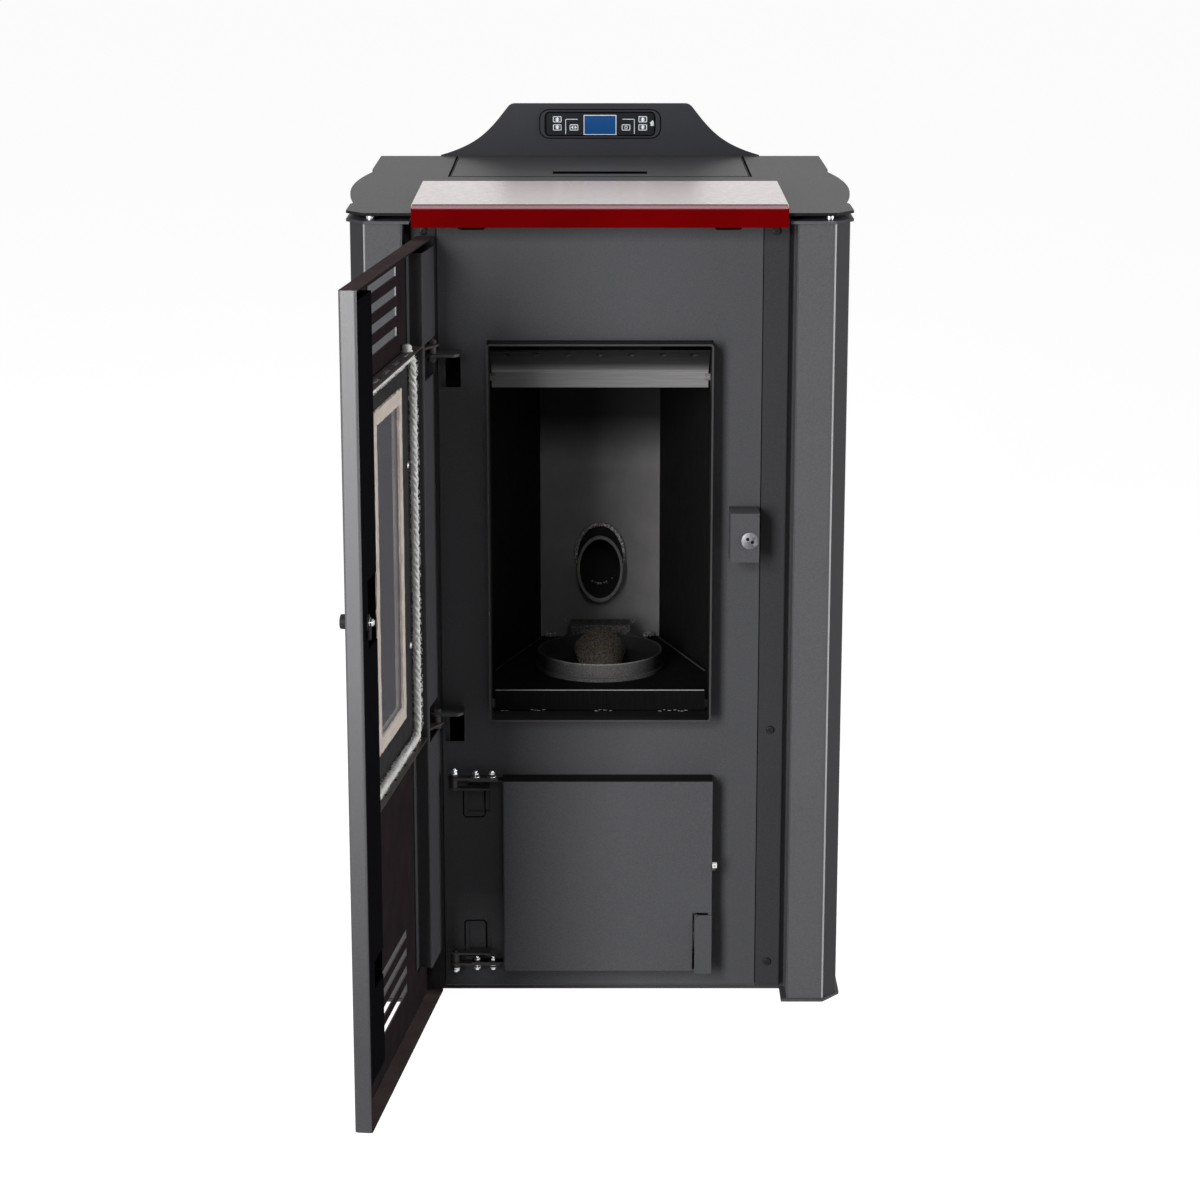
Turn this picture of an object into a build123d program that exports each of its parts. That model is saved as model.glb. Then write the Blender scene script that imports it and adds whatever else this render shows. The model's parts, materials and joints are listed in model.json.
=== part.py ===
from build123d import *
from math import atan2, cos, radians, sin, tan
import os

os.makedirs("parts", exist_ok=True)

# A freestanding pellet stove of folded sheet steel. Millimetres, front towards -Y, +Z up.
# The origin is on the floor at the centre of the top plate's plan. The main door rests open.

# Clearances
weld_gap = 0.1  # between pieces of one assembly that are slid together
run_gap = 0.35  # between flat faces that move past each other
pivot_gap = 0.1  # radial, round pins and shafts

# Sheets
sheet = 1.5  # folded panels
thick_sheet = 3.0  # top plate, base plate and firebox
front_sheet = 2.0  # front plate and collar
bend_radius = 1.0  # inside radius of the folds

# Top and base plates
body_width = 550.0
body_depth = 585.0
body_height = 903.0
corner_cut_x = 20.5
corner_cut_y = 25.0
flank_notch_front = 83.0  # from the front edge to the notch before the bowed flank
rear_notch_length = 157.0  # from the rear edge forward to the notch
flank_notch_back = body_depth - rear_notch_length
bow_front = 97.0
rear_bow_length = 173.0
bow_back = body_depth - rear_bow_length
bow_inset = 4.0
bow_rise = 14.5
half_width = body_width / 2
front_y = -body_depth / 2
back_y = body_depth / 2
top_under = body_height - thick_sheet

# The front plate's face stands this far behind the front edge of the plates.
face_setback = 30.0
face_y = front_y + face_setback

# Columns
cap_height = 9.0  # cap plate and spacer, below the top plate
spacer_diameter = 6.0
spacer_x = 247.5
column_ahead = 26.0
column_face_y = face_y - column_ahead
column_inner_x = 213.5
column_corner_x = 254.5
column_side_x = 271.0
column_corner_y = face_y - 7.0
column_depth = 65.5
column_return = 15.0  # folded in at the side panel's edge
column_flange_x = 170.0  # inner flange that carries the front plate and the strips
rear_inset = 1.0  # from the rear edges of the plates to the rear panel
rear_face = body_depth - face_setback - rear_inset  # from the front plate's face
rear_column_length = 170.5
rear_column_front = rear_face - rear_column_length
column_top = top_under - cap_height
flange_back = 12.0  # depth of the front plate's folded edges
base_flange = 14.0
panel_flange = 14.0
spacer_inset = 10.0

# Front plate and strips
front_half = 177.5
strip_inner = 178.6
strip_outer = 207.0
front_bottom = 8.0
front_top = body_height - 10.0
strip_top = body_height - 12.0
slot_inner = 124.0
slot_outer = 155.0
slot_height = 8.0
slot_top = body_height - 14.0

# Firebox and its collar
collar_half = 124.0
collar_bottom = 333.0
collar_top = 760.0
collar_ahead = 27.0
collar_behind = 22.0
collar_radius = 4.0
box_half = 124.5
box_straight = 140.0
box_back_half = 72.0
box_back = 304.0
box_floor = 345.0
box_roof = 775.0
sill_height = 325.5
sill_back = 24.5
deflector_half = 121.8
deflector_front = 20.0
deflector_back = 80.0
deflector_high = 743.8
deflector_low = 711.2
deflector_edge = 693.4
deflector_hole = 9.0
deflector_hole_x = (0.0, 35.0, 70.0, 104.0)
deflector_hole_set = 9.0
stud_diameter = 8.0
stud_overlap = 4.0
smoke_slot_y = 110.0
smoke_slot_length = 180.0
smoke_slot_width = 22.0
lip_setback = 8.0
lip_height = 25.0
lip_half = 118.5
lip_foot = 10.0

# Burn pot, its air box and the igniter
pot_y = 168.0
pot_radius = 73.5
pot_rim = 365.0
pot_wall = 4.0
pot_flange_radius = 76.0
pot_flange_height = 4.0
cup_radius = 58.0
cup_depth = 28.0
air_hole = 4.0
air_box_half = 72.0
air_box_depth = 150.0
air_box_bottom = 279.0
igniter_half = 36.0
igniter_front = 250.0
igniter_back = 285.0
igniter_height = 27.0
igniter_clearance = 12.0
igniter_chamfer = 3.0

# Pellet feed
tube_diameter = 55.0
tube_wall = 3.0
tube_angle = 41.0
mouth_y = 287.0
mouth_z = 433.5
mouth_lean = 6.0
tube_top_y = 405.0
auger_z = 592.0
auger_bore = 50.0
auger_wall = 2.0
auger_front = 352.0
auger_back = 500.0
screw_diameter = 46.0
screw_pitch = 32.0
screw_core = 14.0
flight_thickness = 3.0
shaft_diameter = 10.0
outlet_y = 376.0
outlet_diameter = 34.0
saddle_front = 418.0
saddle_back = 494.0
saddle_half = 32.0
feed_half = 20.0
gearbox_size = 62.0
gearbox_depth = 24.0
motor_diameter = 52.0
motor_depth = 22.0

# Hopper and its lid
hopper_half = 165.0
hopper_front = 330.0
hopper_back = rear_face - 26.0
hopper_upright = 133.0  # height of the bin's straight part
hopper_knee = body_height - hopper_upright
lid_half = 177.5
lid_front = 321.0
lid_back = rear_face - 4.0
lid_gap = 2.5
lid_slot_length = 110.0
lid_slot_width = 9.0
lid_slot_y = 358.0
lid_axis_y = lid_back - 5.0
lid_axis_drop = 6.5
lid_rod = 4.0
lug_x = 150.0
ear_x = 170.0
bin_flange = 9.0

# Red cover over the front of the top plate
cover_half = 202.5
cover_top = body_height + 9.0
cover_back = 197.0
cover_ahead = 42.0
cover_bottom = body_height - 14.5
cover_bend = 6.0

# Control cowl and its display
cowl_half = 200.0
cowl_shoulder = 1.2  # the flank's start, above the top plate
cowl_sag_in = 49.2  # a point half-way up the hollow flank
cowl_sag_up = 23.4
cowl_knee_in = 78.2  # from here the flank is straight
cowl_knee_up = 53.3
cowl_corner_in = 87.9
cowl_rise = 65.7
cowl_top = body_height + cowl_rise
cowl_depth = 36.0
cowl_fall = 5.0  # the top and the flanks fall by this much towards the rear
cowl_seat = top_under - 10.0
cowl_skirt = body_height - 38.0
cowl_corner = 12.0
cowl_face_y = back_y
bezel_width = 151.0
bezel_height = 35.0
bezel_rise = 40.0
bezel_z = body_height + bezel_rise
bezel_radius = 12.0
window_width = 140.5
window_height = 29.5
screen_width = 39.0
screen_height = 23.0
screen_z = bezel_z - 1.5
key_width = 12.0
key_height = 8.6
key_upper_z = bezel_z + 5.7
key_lower_z = bezel_z - 4.4
key_travel = 0.6
key_proud = 1.2
key_flange = 0.8
key_flange_back = 2.6
bezel_proud = 1.6
bezel_thickness = 3.2
board_behind = 6.0
outer_key_x = 53.6
inner_key_x = 32.6
key_places = {
    "up_left": (-outer_key_x, key_upper_z),
    "down_left": (-outer_key_x, key_lower_z),
    "set": (-inner_key_x, key_lower_z),
    "power": (inner_key_x, key_lower_z),
    "up_right": (outer_key_x, key_upper_z),
    "down_right": (outer_key_x, key_lower_z),
}

# Latch keeper on the front plate
keeper_left = 143.0
keeper_right = 175.4
keeper_bottom = 519.0
keeper_top = 574.0
keeper_ahead = 38.0
keeper_disc_x = 166.0
keeper_disc_z = 543.5
keeper_disc_radius = 9.0
keeper_proud = 1.0
keeper_return = 14.0
keeper_clear_side = 4.5  # the hole in the door's lip is this much larger
keeper_clear_below = 7.0
keeper_clear_above = 8.0

# Ash door: pan, finger tongue and hinges
ash_left = -110.0
ash_right = 127.0
ash_bottom = 37.0
ash_top = 263.0
ash_ahead = 28.0
ash_lip_gap = 0.5
tongue_left = 107.5
tongue_top = 104.6
tongue_drop = 3.0
tongue_slit = 2.5
ash_axis_x = -165.0
ash_axis_ahead = 14.0
ash_pin = 6.0
ash_roller = 10.0
ash_tab_left = -150.0
ash_tab_right = -125.0
ash_window_height = 31.0
ash_upper_tab_z = 250.0
ash_lower_tab_z = 55.0
ash_bolt_x = (-140.7, -122.4)
ash_arm_gap = 10.0  # from the tab to the arm, taken up by the roller
upper_arm_z = ash_upper_tab_z + front_sheet + ash_arm_gap
lower_arm_z = ash_lower_tab_z - front_sheet - ash_arm_gap - 2.5
ash_arm_half = 6.5
bolt_head = 3.5
catch_z = 157.0
ash_frame_half_gap = 12.0  # the plate's opening is this much smaller than the ash door

# Main door. Its pieces are drawn on planes that turn with it about the hinge pin:
# s runs across the door, 0 at the stove's middle when it is shut, and depth from its inner plane.
door_open_angle = 97.5
pin_x = -183.0
pin_ahead = 22.7
door_inner_ahead = 22.3
door_left = -202.0
door_right = 206.0
door_bottom = 5.0
door_top = body_height - 28.0
door_thickness = 18.5
door_corner = 3.0
louvre_half = 72.0
louvre_height = 10.0
louvre_pitch = 21.1
louvre_count = 4
upper_louvre_z = door_top - 20.5
lower_louvre_z = 120.0
stiffener_s = 134.0
stiffener_bottom = 57.0
stiffener_top = door_top - 10.0
stiffener_foot = 12.0
notch_bottom = 152.0
notch_top = 182.0
shelf_half = stiffener_s - bend_radius - weld_gap
shelf_depth = 1.0
upper_shelf_z = 765.5
lower_shelf_z = 328.5
shelf_hole_pitch = 52.6
shelf_slot_length = 32.0
shelf_slot_width = 5.0
shelf_hole = 8.0
glass_half = 88.0
glass_bottom = 365.0
glass_top = 733.0
glass_corner = 6.0
glass_thickness = 3.9
sight_half = 58.5
sight_bottom = 383.0
sight_top = 715.0
tape_width = 15.0
tape_thickness = 3.0
rope_diameter = 10.6
rope_half = 123.0
rope_bottom = 334.0
rope_top = 758.4
rope_corner = 14.0
frame_depth = door_thickness - 2 * sheet  # on the pan's skin, between the stiffeners' feet

# Main hinge: tabs lanced from the front plate, bolts, bushes and the door's arms
pin_diameter = 6.0
bush_diameter = 10.0
bush_length = 8.0
tab_thickness = 3.0
eye_radius = 7.5
upper_tab_z = 746.0
lower_tab_z = 340.0
tab_right = -153.0
tab_left = -178.0
tab_ahead = 30.0
window_drop = 38.0
arm_thickness = 2.5
arm_root = 6.0
hinge_relief = 20.0  # the stiffener is cut away this far above and below a hinge

# Latch
latch_s = 187.0
latch_z = 542.0
latch_shaft = 8.0
latch_knob = 15.0
latch_base = 17.0
cam_reach = 17.0
cam_width = 9.0
cam_thickness = 2.0
cam_lean = 2.0
latch_nose = 5.0
knob_height = 7.5

# Ash compartment, fans, pipes and the rear
ash_box_back = 300.0
ash_pan_height = 95.0
pan_clearance = 4.0
pan_handle_width = 90.0
pan_handle_height = 24.0
pan_handle_bar = 5.0
pan_handle_drop = 25.0
pan_handle_depth = 8.0
pan_front = 14.0
fan_radius = 68.0
fan_y = 425.0
fan_z = 150.0
fan_duct = 76.0
fan_foot = 30.0  # half its length
flue_z = fan_z + fan_radius - fan_duct / 2
fan_outlet_y = rear_face - 14.0
fan_left = 22.0
fan_right = 92.0
impeller_radius = 55.0
impeller_blade = 26.0
impeller_blades = 10
fan_motor_depth = 30.0
fan_outlet_diameter = 64.0
flue_diameter = 80.0
flue_wall = 1.5  # of the pipe, and of the collar on its outer end
pipe_reach = 48.0
pipe_end = rear_face + pipe_reach
air_pipe_diameter = 40.0
air_pipe_z = 302.0
drum_radius = 30.0
drum_length = 130.0
drum_x = -115.0
drum_y = 440.0
drum_z = 60.0
drum_clearance = 8.0
drum_outlet = 34.0
drum_outlet_z = 125.0
drum_blades = 16
inlet_x = -190.0
inlet_z = 90.0
inlet_width = 27.0
inlet_height = 20.0
inlet_depth = 24.0
inlet_rim = 4.0
inlet_wall = 2.0
inlet_blades = ((-7.0, -2.0), (0.0, 3.0), (7.0, -2.0))
rear_panel_top = body_height - 15.0
vent_rows = 8
vent_columns = 5
vent_heights = (330.0, 700.0)
vent_length = 50.0
vent_width = 5.0
vent_pitch_x = 62.0
vent_pitch_z = 14.0


def behind(distance):
    """Y of a point this far behind the front plate's face; a negative one is ahead of it."""
    return face_y + distance


def write_piece(builder, label):
    """Label a finished piece and write it under that name."""
    builder.part.label = label
    export_step(builder.part, f"parts/{label}.step")


def folded_strip(points, thickness, radius=bend_radius):
    """Face of a folded sheet seen on edge: the line, thickened to its left, with round folds."""
    count = len(points)
    headings = [
        atan2(points[i + 1][1] - points[i][1], points[i + 1][0] - points[i][0])
        for i in range(count - 1)
    ]
    shifted = []
    line_radii = []
    shifted_radii = []
    for i, (x, y) in enumerate(points):
        before = headings[max(i - 1, 0)]
        after = headings[min(i, count - 2)]
        middle = (before + after) / 2
        if abs(before - after) > radians(180):
            middle += radians(180)
        reach = thickness / cos(middle - before)
        shifted.append((x - reach * sin(middle), y + reach * cos(middle)))
        if 0 < i < count - 1:
            turn = sin(after - before)
            outside = radius + abs(thickness)
            line_radii.append(outside if turn * thickness > 0 else radius)
            shifted_radii.append(radius if turn * thickness > 0 else outside)
    radii = [0.0, *line_radii, 0.0, 0.0, *reversed(shifted_radii), 0.0]
    with BuildLine() as outline:
        FilletPolyline(*points, *reversed(shifted), radius=radii, close=True)
    make_face(outline.edges())


def rectangle_between(left, bottom, right, top, mode=Mode.ADD):
    """Rectangle by its corners, in the plane of the sketch."""
    with Locations(((left + right) / 2, (bottom + top) / 2)):
        Rectangle(right - left, top - bottom, mode=mode)


def bowed(inset):
    """Three points of the bowed flank on the right, drawn in by the inset."""
    middle = (bow_front + bow_back) / 2
    edge = half_width - bow_inset - inset
    return (
        (edge, front_y + bow_front),
        (edge + bow_rise, front_y + middle),
        (edge, front_y + bow_back),
    )


def plate_plan():
    """Plan of the top and base plates: cut front corners and bowed flanks between notches."""
    start, peak, end = bowed(0)
    with BuildLine() as outline:
        Polyline(
            (0, front_y),
            (half_width - corner_cut_x, front_y),
            (half_width, front_y + corner_cut_y),
            (half_width, front_y + flank_notch_front),
            start,
        )
        ThreePointArc(start, peak, end)
        Polyline(end, (half_width, front_y + flank_notch_back), (half_width, back_y), (0, back_y))
        mirror(about=Plane.YZ)
    make_face(outline.edges())


def door_face(depth):
    """Plane of the open door at a depth from its inner plane: x is s, y is height."""
    along = Vector(cos(radians(door_open_angle)), -sin(radians(door_open_angle)), 0)
    inward = Vector(sin(radians(door_open_angle)), cos(radians(door_open_angle)), 0)
    pin = Vector(pin_x, behind(-pin_ahead), 0)
    origin = pin - along * pin_x + inward * (pin_ahead - door_inner_ahead - depth)
    return Plane(origin=origin, x_dir=along, z_dir=-inward)


def door_plan(height):
    """Level plane of the open door: x is s, and y is minus the depth."""
    face = door_face(0)
    return Plane(origin=face.origin + Vector(0, 0, height), x_dir=face.x_dir, z_dir=(0, 0, 1))


# ---- Shell -------------------------------------------------------------------------------

with BuildPart() as base_plate:
    with BuildSketch():
        plate_plan()
        with Locations((0, (front_y - 1 + behind(flange_back)) / 2)):
            Rectangle(2 * strip_outer, face_setback + flange_back + 1, mode=Mode.SUBTRACT)
    extrude(amount=thick_sheet)
    with BuildSketch(Plane.XY.offset(thick_sheet)):
        flange_y = behind(flange_back)
        rectangle_between(-column_flange_x, flange_y, column_flange_x, flange_y + sheet)
    extrude(amount=base_flange)
write_piece(base_plate, "base_plate")

with BuildPart() as front_plate:
    with BuildSketch(Plane.YZ):
        folded_strip(
            [
                (behind(flange_back), front_bottom),
                (face_y, front_bottom),
                (face_y, front_top),
            ],
            -front_sheet,
        )
    extrude(amount=front_half, both=True)
    for side in (-1, 1):
        with BuildSketch(Plane.XY.offset(front_bottom + front_sheet)):
            edge = side * front_half
            rectangle_between(edge - side * front_sheet, face_y, edge, behind(flange_back))
        extrude(amount=front_top - front_bottom - front_sheet)
    with BuildSketch(Plane.XZ.offset(-face_y)):
        # Firebox and ash openings
        rectangle_between(-collar_half, collar_bottom, collar_half, collar_top)
        inset = ash_frame_half_gap
        rectangle_between(
            ash_left + inset, ash_bottom + inset, ash_right - inset, ash_top - inset
        )
        # Slots under the red cover
        for side in (-1, 1):
            with Locations((side * (slot_inner + slot_outer) / 2, slot_top - slot_height / 2)):
                SlotOverall(slot_outer - slot_inner, slot_height)
        # Windows that the hinge tabs were folded out of
        for tab_z in (upper_tab_z, lower_tab_z):
            rectangle_between(tab_left + 3, tab_z - window_drop, tab_right, tab_z)
        rectangle_between(
            ash_tab_left, ash_upper_tab_z - ash_window_height, ash_tab_right, ash_upper_tab_z
        )
        rectangle_between(
            ash_tab_left, ash_lower_tab_z, ash_tab_right, ash_lower_tab_z + ash_window_height
        )
    extrude(amount=front_sheet, both=True, mode=Mode.SUBTRACT)
    # Main hinge tabs, with an eye round each bolt
    for tab_z in (upper_tab_z, lower_tab_z):
        with BuildSketch(Plane.XY.offset(tab_z)):
            with BuildLine():
                Polyline(
                    (tab_right, behind(front_sheet)),
                    (tab_right, behind(-tab_ahead + 6)),
                    (tab_right - 6, behind(-tab_ahead)),
                    (pin_x, behind(-tab_ahead)),
                    (pin_x, behind(-pin_ahead)),
                    (tab_left, behind(-pin_ahead + eye_radius)),
                    (tab_left, behind(front_sheet)),
                    close=True,
                )
            make_face()
            with Locations((pin_x, behind(-pin_ahead))):
                Circle(eye_radius)
                Circle(pin_diameter / 2, mode=Mode.SUBTRACT)
        extrude(amount=tab_thickness)
    # Ash door tabs
    for tab_z in (ash_upper_tab_z, ash_lower_tab_z - front_sheet):
        with BuildSketch(Plane.XY.offset(tab_z)):
            eye_y = behind(-ash_axis_ahead)
            rectangle_between(ash_tab_left, eye_y, ash_tab_right, behind(front_sheet))
            rectangle_between(ash_axis_x, eye_y - 6, ash_tab_right, eye_y + 6)
            with Locations((ash_axis_x, eye_y)):
                Circle(6)
                Circle(ash_pin / 2, mode=Mode.SUBTRACT)
        extrude(amount=front_sheet)
write_piece(front_plate, "front_plate")

for side, name in ((-1, "left"), (1, "right")):
    with BuildPart() as strip:
        with BuildSketch(Plane.XY.offset(front_bottom)):
            folded_strip(
                [
                    (strip_inner, face_y),
                    (strip_outer, face_y),
                    (strip_outer, behind(flange_back)),
                ],
                sheet,
            )
        extrude(amount=strip_top - front_bottom)
        if side < 0:
            mirror(about=Plane.YZ, mode=Mode.REPLACE)
    write_piece(strip, f"front_strip_{name}")

for side, name in ((-1, "left"), (1, "right")):
    with BuildPart() as column:
        with BuildSketch(Plane.XY.offset(thick_sheet)):
            folded_strip(
                [
                    (column_flange_x, behind(flange_back)),
                    (column_inner_x, behind(flange_back)),
                    (column_inner_x, column_face_y),
                    (column_corner_x, column_face_y),
                    (column_side_x, column_corner_y),
                    (column_side_x, behind(column_depth)),
                    (column_side_x - column_return, behind(column_depth)),
                ],
                sheet,
            )
        extrude(amount=column_top - thick_sheet)
        if side < 0:
            mirror(about=Plane.YZ, mode=Mode.REPLACE)
    write_piece(column, f"column_front_{name}")
    with BuildPart() as column:
        with BuildSketch(Plane.XY.offset(thick_sheet)):
            folded_strip(
                [
                    (column_side_x - column_return, behind(rear_column_front)),
                    (column_side_x, behind(rear_column_front)),
                    (column_side_x, behind(rear_face)),
                    (column_inner_x, behind(rear_face)),
                ],
                sheet,
            )
        extrude(amount=column_top - thick_sheet)
        if side < 0:
            mirror(about=Plane.YZ, mode=Mode.REPLACE)
    write_piece(column, f"column_rear_{name}")
    with BuildPart() as panel:
        with BuildSketch(Plane.XY.offset(thick_sheet)):
            start, peak, end = bowed(bow_inset)
            inner_start, inner_peak, inner_end = bowed(bow_inset + sheet)
            with BuildLine():
                ThreePointArc(start, peak, end)
                Line(end, inner_end)
                ThreePointArc(inner_end, inner_peak, inner_start)
                Line(inner_start, start)
            make_face()
            for x, y in (start, end):
                with Locations((x - sheet / 2 - panel_flange / 2, y)):
                    Rectangle(panel_flange, sheet)
        extrude(amount=top_under - thick_sheet)
        if side < 0:
            mirror(about=Plane.YZ, mode=Mode.REPLACE)
    write_piece(panel, f"side_panel_{name}")

with BuildPart() as column_caps:
    with BuildSketch(Plane.XY.offset(column_top)):
        plate_plan()
        Rectangle(2 * (strip_outer - sheet), 2 * body_depth, mode=Mode.SUBTRACT)
        middle = (behind(column_depth) + behind(rear_column_front)) / 2
        with Locations((0, middle)):
            Rectangle(
                2 * body_width, rear_column_front - column_depth, mode=Mode.SUBTRACT
            )
    extrude(amount=thick_sheet)
    with BuildSketch(Plane.XY.offset(column_top + thick_sheet)):
        for y in (front_y + spacer_inset, back_y - spacer_inset):
            with Locations((-spacer_x, y), (spacer_x, y)):
                Circle(spacer_diameter / 2)
    extrude(amount=cap_height - thick_sheet)
write_piece(column_caps, "column_caps")

with BuildPart() as top_plate:
    with BuildSketch(Plane.XY.offset(top_under)):
        plate_plan()
        rectangle_between(
            -lid_half - lid_gap,
            behind(lid_front - lid_gap),
            lid_half + lid_gap,
            back_y + 1,
            mode=Mode.SUBTRACT,
        )
    extrude(amount=thick_sheet)
write_piece(top_plate, "top_plate")

with BuildPart() as top_cover:
    with BuildSketch(Plane.YZ):
        with BuildLine():
            FilletPolyline(
                (behind(cover_back), body_height),
                (behind(cover_back), cover_top),
                (behind(-cover_ahead), cover_top),
                (behind(-cover_ahead), cover_bottom),
                (front_y - run_gap, cover_bottom),
                (front_y - run_gap, body_height),
                radius=[0, 2, cover_bend, 0, 0, 0],
                close=True,
            )
        make_face()
    extrude(amount=cover_half, both=True)
    with BuildSketch(Plane.YZ):
        with BuildLine():
            FilletPolyline(
                (behind(cover_back) - sheet, body_height),
                (behind(cover_back) - sheet, cover_top - sheet),
                (behind(-cover_ahead) + sheet, cover_top - sheet),
                (behind(-cover_ahead) + sheet, cover_bottom),
                (front_y - run_gap, cover_bottom),
                (front_y - run_gap, body_height),
                radius=[0, 0, cover_bend - sheet, 0, 0, 0],
                close=True,
            )
        make_face()
    extrude(amount=cover_half - sheet, both=True, mode=Mode.SUBTRACT)
write_piece(top_cover, "top_cover")

with BuildPart() as rear_panel:
    with BuildSketch(Plane.XZ.offset(-behind(rear_face))):
        rectangle_between(
            -column_inner_x + weld_gap,
            thick_sheet,
            column_inner_x - weld_gap,
            rear_panel_top,
        )
        with Locations(((fan_left + fan_right) / 2, flue_z)):
            Circle(flue_diameter / 2 - flue_wall + weld_gap, mode=Mode.SUBTRACT)
        with Locations((0, air_pipe_z)):
            Circle(air_pipe_diameter / 2 - flue_wall + weld_gap, mode=Mode.SUBTRACT)
        with Locations((inlet_x, inlet_z)):
            Rectangle(inlet_width, inlet_height, mode=Mode.SUBTRACT)
        for height in vent_heights:
            with Locations((0, height)):
                with GridLocations(vent_pitch_x, vent_pitch_z, vent_columns, vent_rows):
                    SlotOverall(vent_length, vent_width, mode=Mode.SUBTRACT)
    extrude(amount=sheet)
write_piece(rear_panel, "rear_panel")

# ---- Control cowl ------------------------------------------------------------------------


def cowl_outline(inset):
    """Front view of the cowl, its top and hollow flanks drawn in by the inset."""
    edge = cowl_half - inset
    base = body_height - inset
    shoulder = (edge, base + cowl_shoulder)
    knee = (edge - cowl_knee_in, base + cowl_knee_up)
    corner = (edge - cowl_corner_in, base + cowl_rise)
    with BuildLine() as outline:
        Polyline((0, cowl_seat), (edge, cowl_seat), shoulder)
        Spline(
            shoulder,
            (edge - cowl_sag_in, base + cowl_sag_up),
            knee,
            tangents=[(-1, 0.28), (corner[0] - knee[0], corner[1] - knee[1])],
        )
        Polyline(knee, corner, (0, corner[1]))
        mirror(about=Plane.YZ)
    make_face(outline.edges())


with BuildPart() as control_cowl:
    for depth, inset in ((0, 0), (cowl_depth, cowl_fall)):
        with BuildSketch(Plane.XZ.offset(-cowl_face_y - depth)) as cowl_view:
            cowl_outline(inset)
            top_corners = cowl_view.vertices().group_by(Axis.Y)[-1].sort_by(Axis.X)
            fillet([top_corners[0], top_corners[-1]], radius=cowl_corner)
    loft()
    with BuildSketch(Plane.XZ.offset(-behind(rear_face))):
        rectangle_between(-cowl_half, cowl_skirt, cowl_half, top_under)
    extrude(amount=-(cowl_depth + cowl_face_y - behind(rear_face)))
    with BuildSketch(Plane.XZ.offset(-cowl_face_y)):
        with Locations((0, bezel_z)):
            RectangleRounded(bezel_width, bezel_height, bezel_radius)
    extrude(amount=-(cowl_depth - sheet), mode=Mode.SUBTRACT)
write_piece(control_cowl, "control_cowl")

with BuildPart() as display_bezel:
    with BuildSketch(Plane.XZ.offset(-cowl_face_y + bezel_proud)):
        with Locations((0, bezel_z)):
            RectangleRounded(
                bezel_width - 2 * weld_gap, bezel_height - 2 * weld_gap, bezel_radius
            )
    extrude(amount=-bezel_thickness)
    with BuildSketch(Plane.XZ.offset(-cowl_face_y + bezel_proud)):
        with Locations((0, bezel_z)):
            RectangleRounded(window_width, window_height, bezel_radius - 3)
    extrude(amount=-bezel_proud, mode=Mode.SUBTRACT)
    with BuildSketch(Plane.XZ.offset(-cowl_face_y)):
        with Locations((0, screen_z)):
            Rectangle(screen_width, screen_height)
        for x, z in key_places.values():
            with Locations((x, z)):
                RectangleRounded(key_width + 2 * run_gap, key_height + 2 * run_gap, 1.6)
    extrude(amount=-bezel_thickness, mode=Mode.SUBTRACT)
write_piece(display_bezel, "display_bezel")

# The screen module fills its window and carries the switch board behind the keys.
with BuildPart() as display_screen:
    with BuildSketch(Plane.XZ.offset(-cowl_face_y)):
        with Locations((0, screen_z)):
            Rectangle(screen_width - 2 * weld_gap, screen_height - 2 * weld_gap)
    extrude(amount=-board_behind)
    with BuildSketch(Plane.XZ.offset(-cowl_face_y - board_behind)):
        with Locations((0, bezel_z)):
            Rectangle(window_width - 12, window_height - 2)
    extrude(amount=-sheet)
    with BuildSketch(Plane.XZ.offset(-cowl_face_y - board_behind)):
        for x, z in key_places.values():
            with Locations((x, z)):
                Circle(2)
    extrude(amount=board_behind - key_flange_back - key_travel - run_gap)
write_piece(display_screen, "display_screen")

for name, (x, z) in key_places.items():
    with BuildPart() as key:
        with BuildSketch(Plane.XZ.offset(-cowl_face_y + key_proud)):
            with Locations((x, z)):
                RectangleRounded(key_width, key_height, 1.5)
        extrude(amount=-(key_proud + key_flange_back))
        fillet(key.edges().group_by(Axis.Y)[0], radius=0.5)
        with BuildSketch(Plane.XZ.offset(-cowl_face_y - key_flange_back)):
            with Locations((x, z)):
                Rectangle(key_width - 2, key_height + 0.8)
        extrude(amount=key_flange)
    write_piece(key, f"key_{name}")

# ---- Firebox -----------------------------------------------------------------------------

with BuildPart() as firebox_collar:
    with BuildSketch(Plane.XZ.offset(-behind(-collar_ahead))):
        with Locations((0, (collar_bottom + collar_top) / 2)):
            RectangleRounded(2 * collar_half, collar_top - collar_bottom, collar_radius)
            RectangleRounded(
                2 * (collar_half - front_sheet),
                collar_top - collar_bottom - 2 * front_sheet,
                collar_radius - front_sheet,
                mode=Mode.SUBTRACT,
            )
    extrude(amount=-(collar_ahead + collar_behind))
write_piece(firebox_collar, "firebox_collar")

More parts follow.
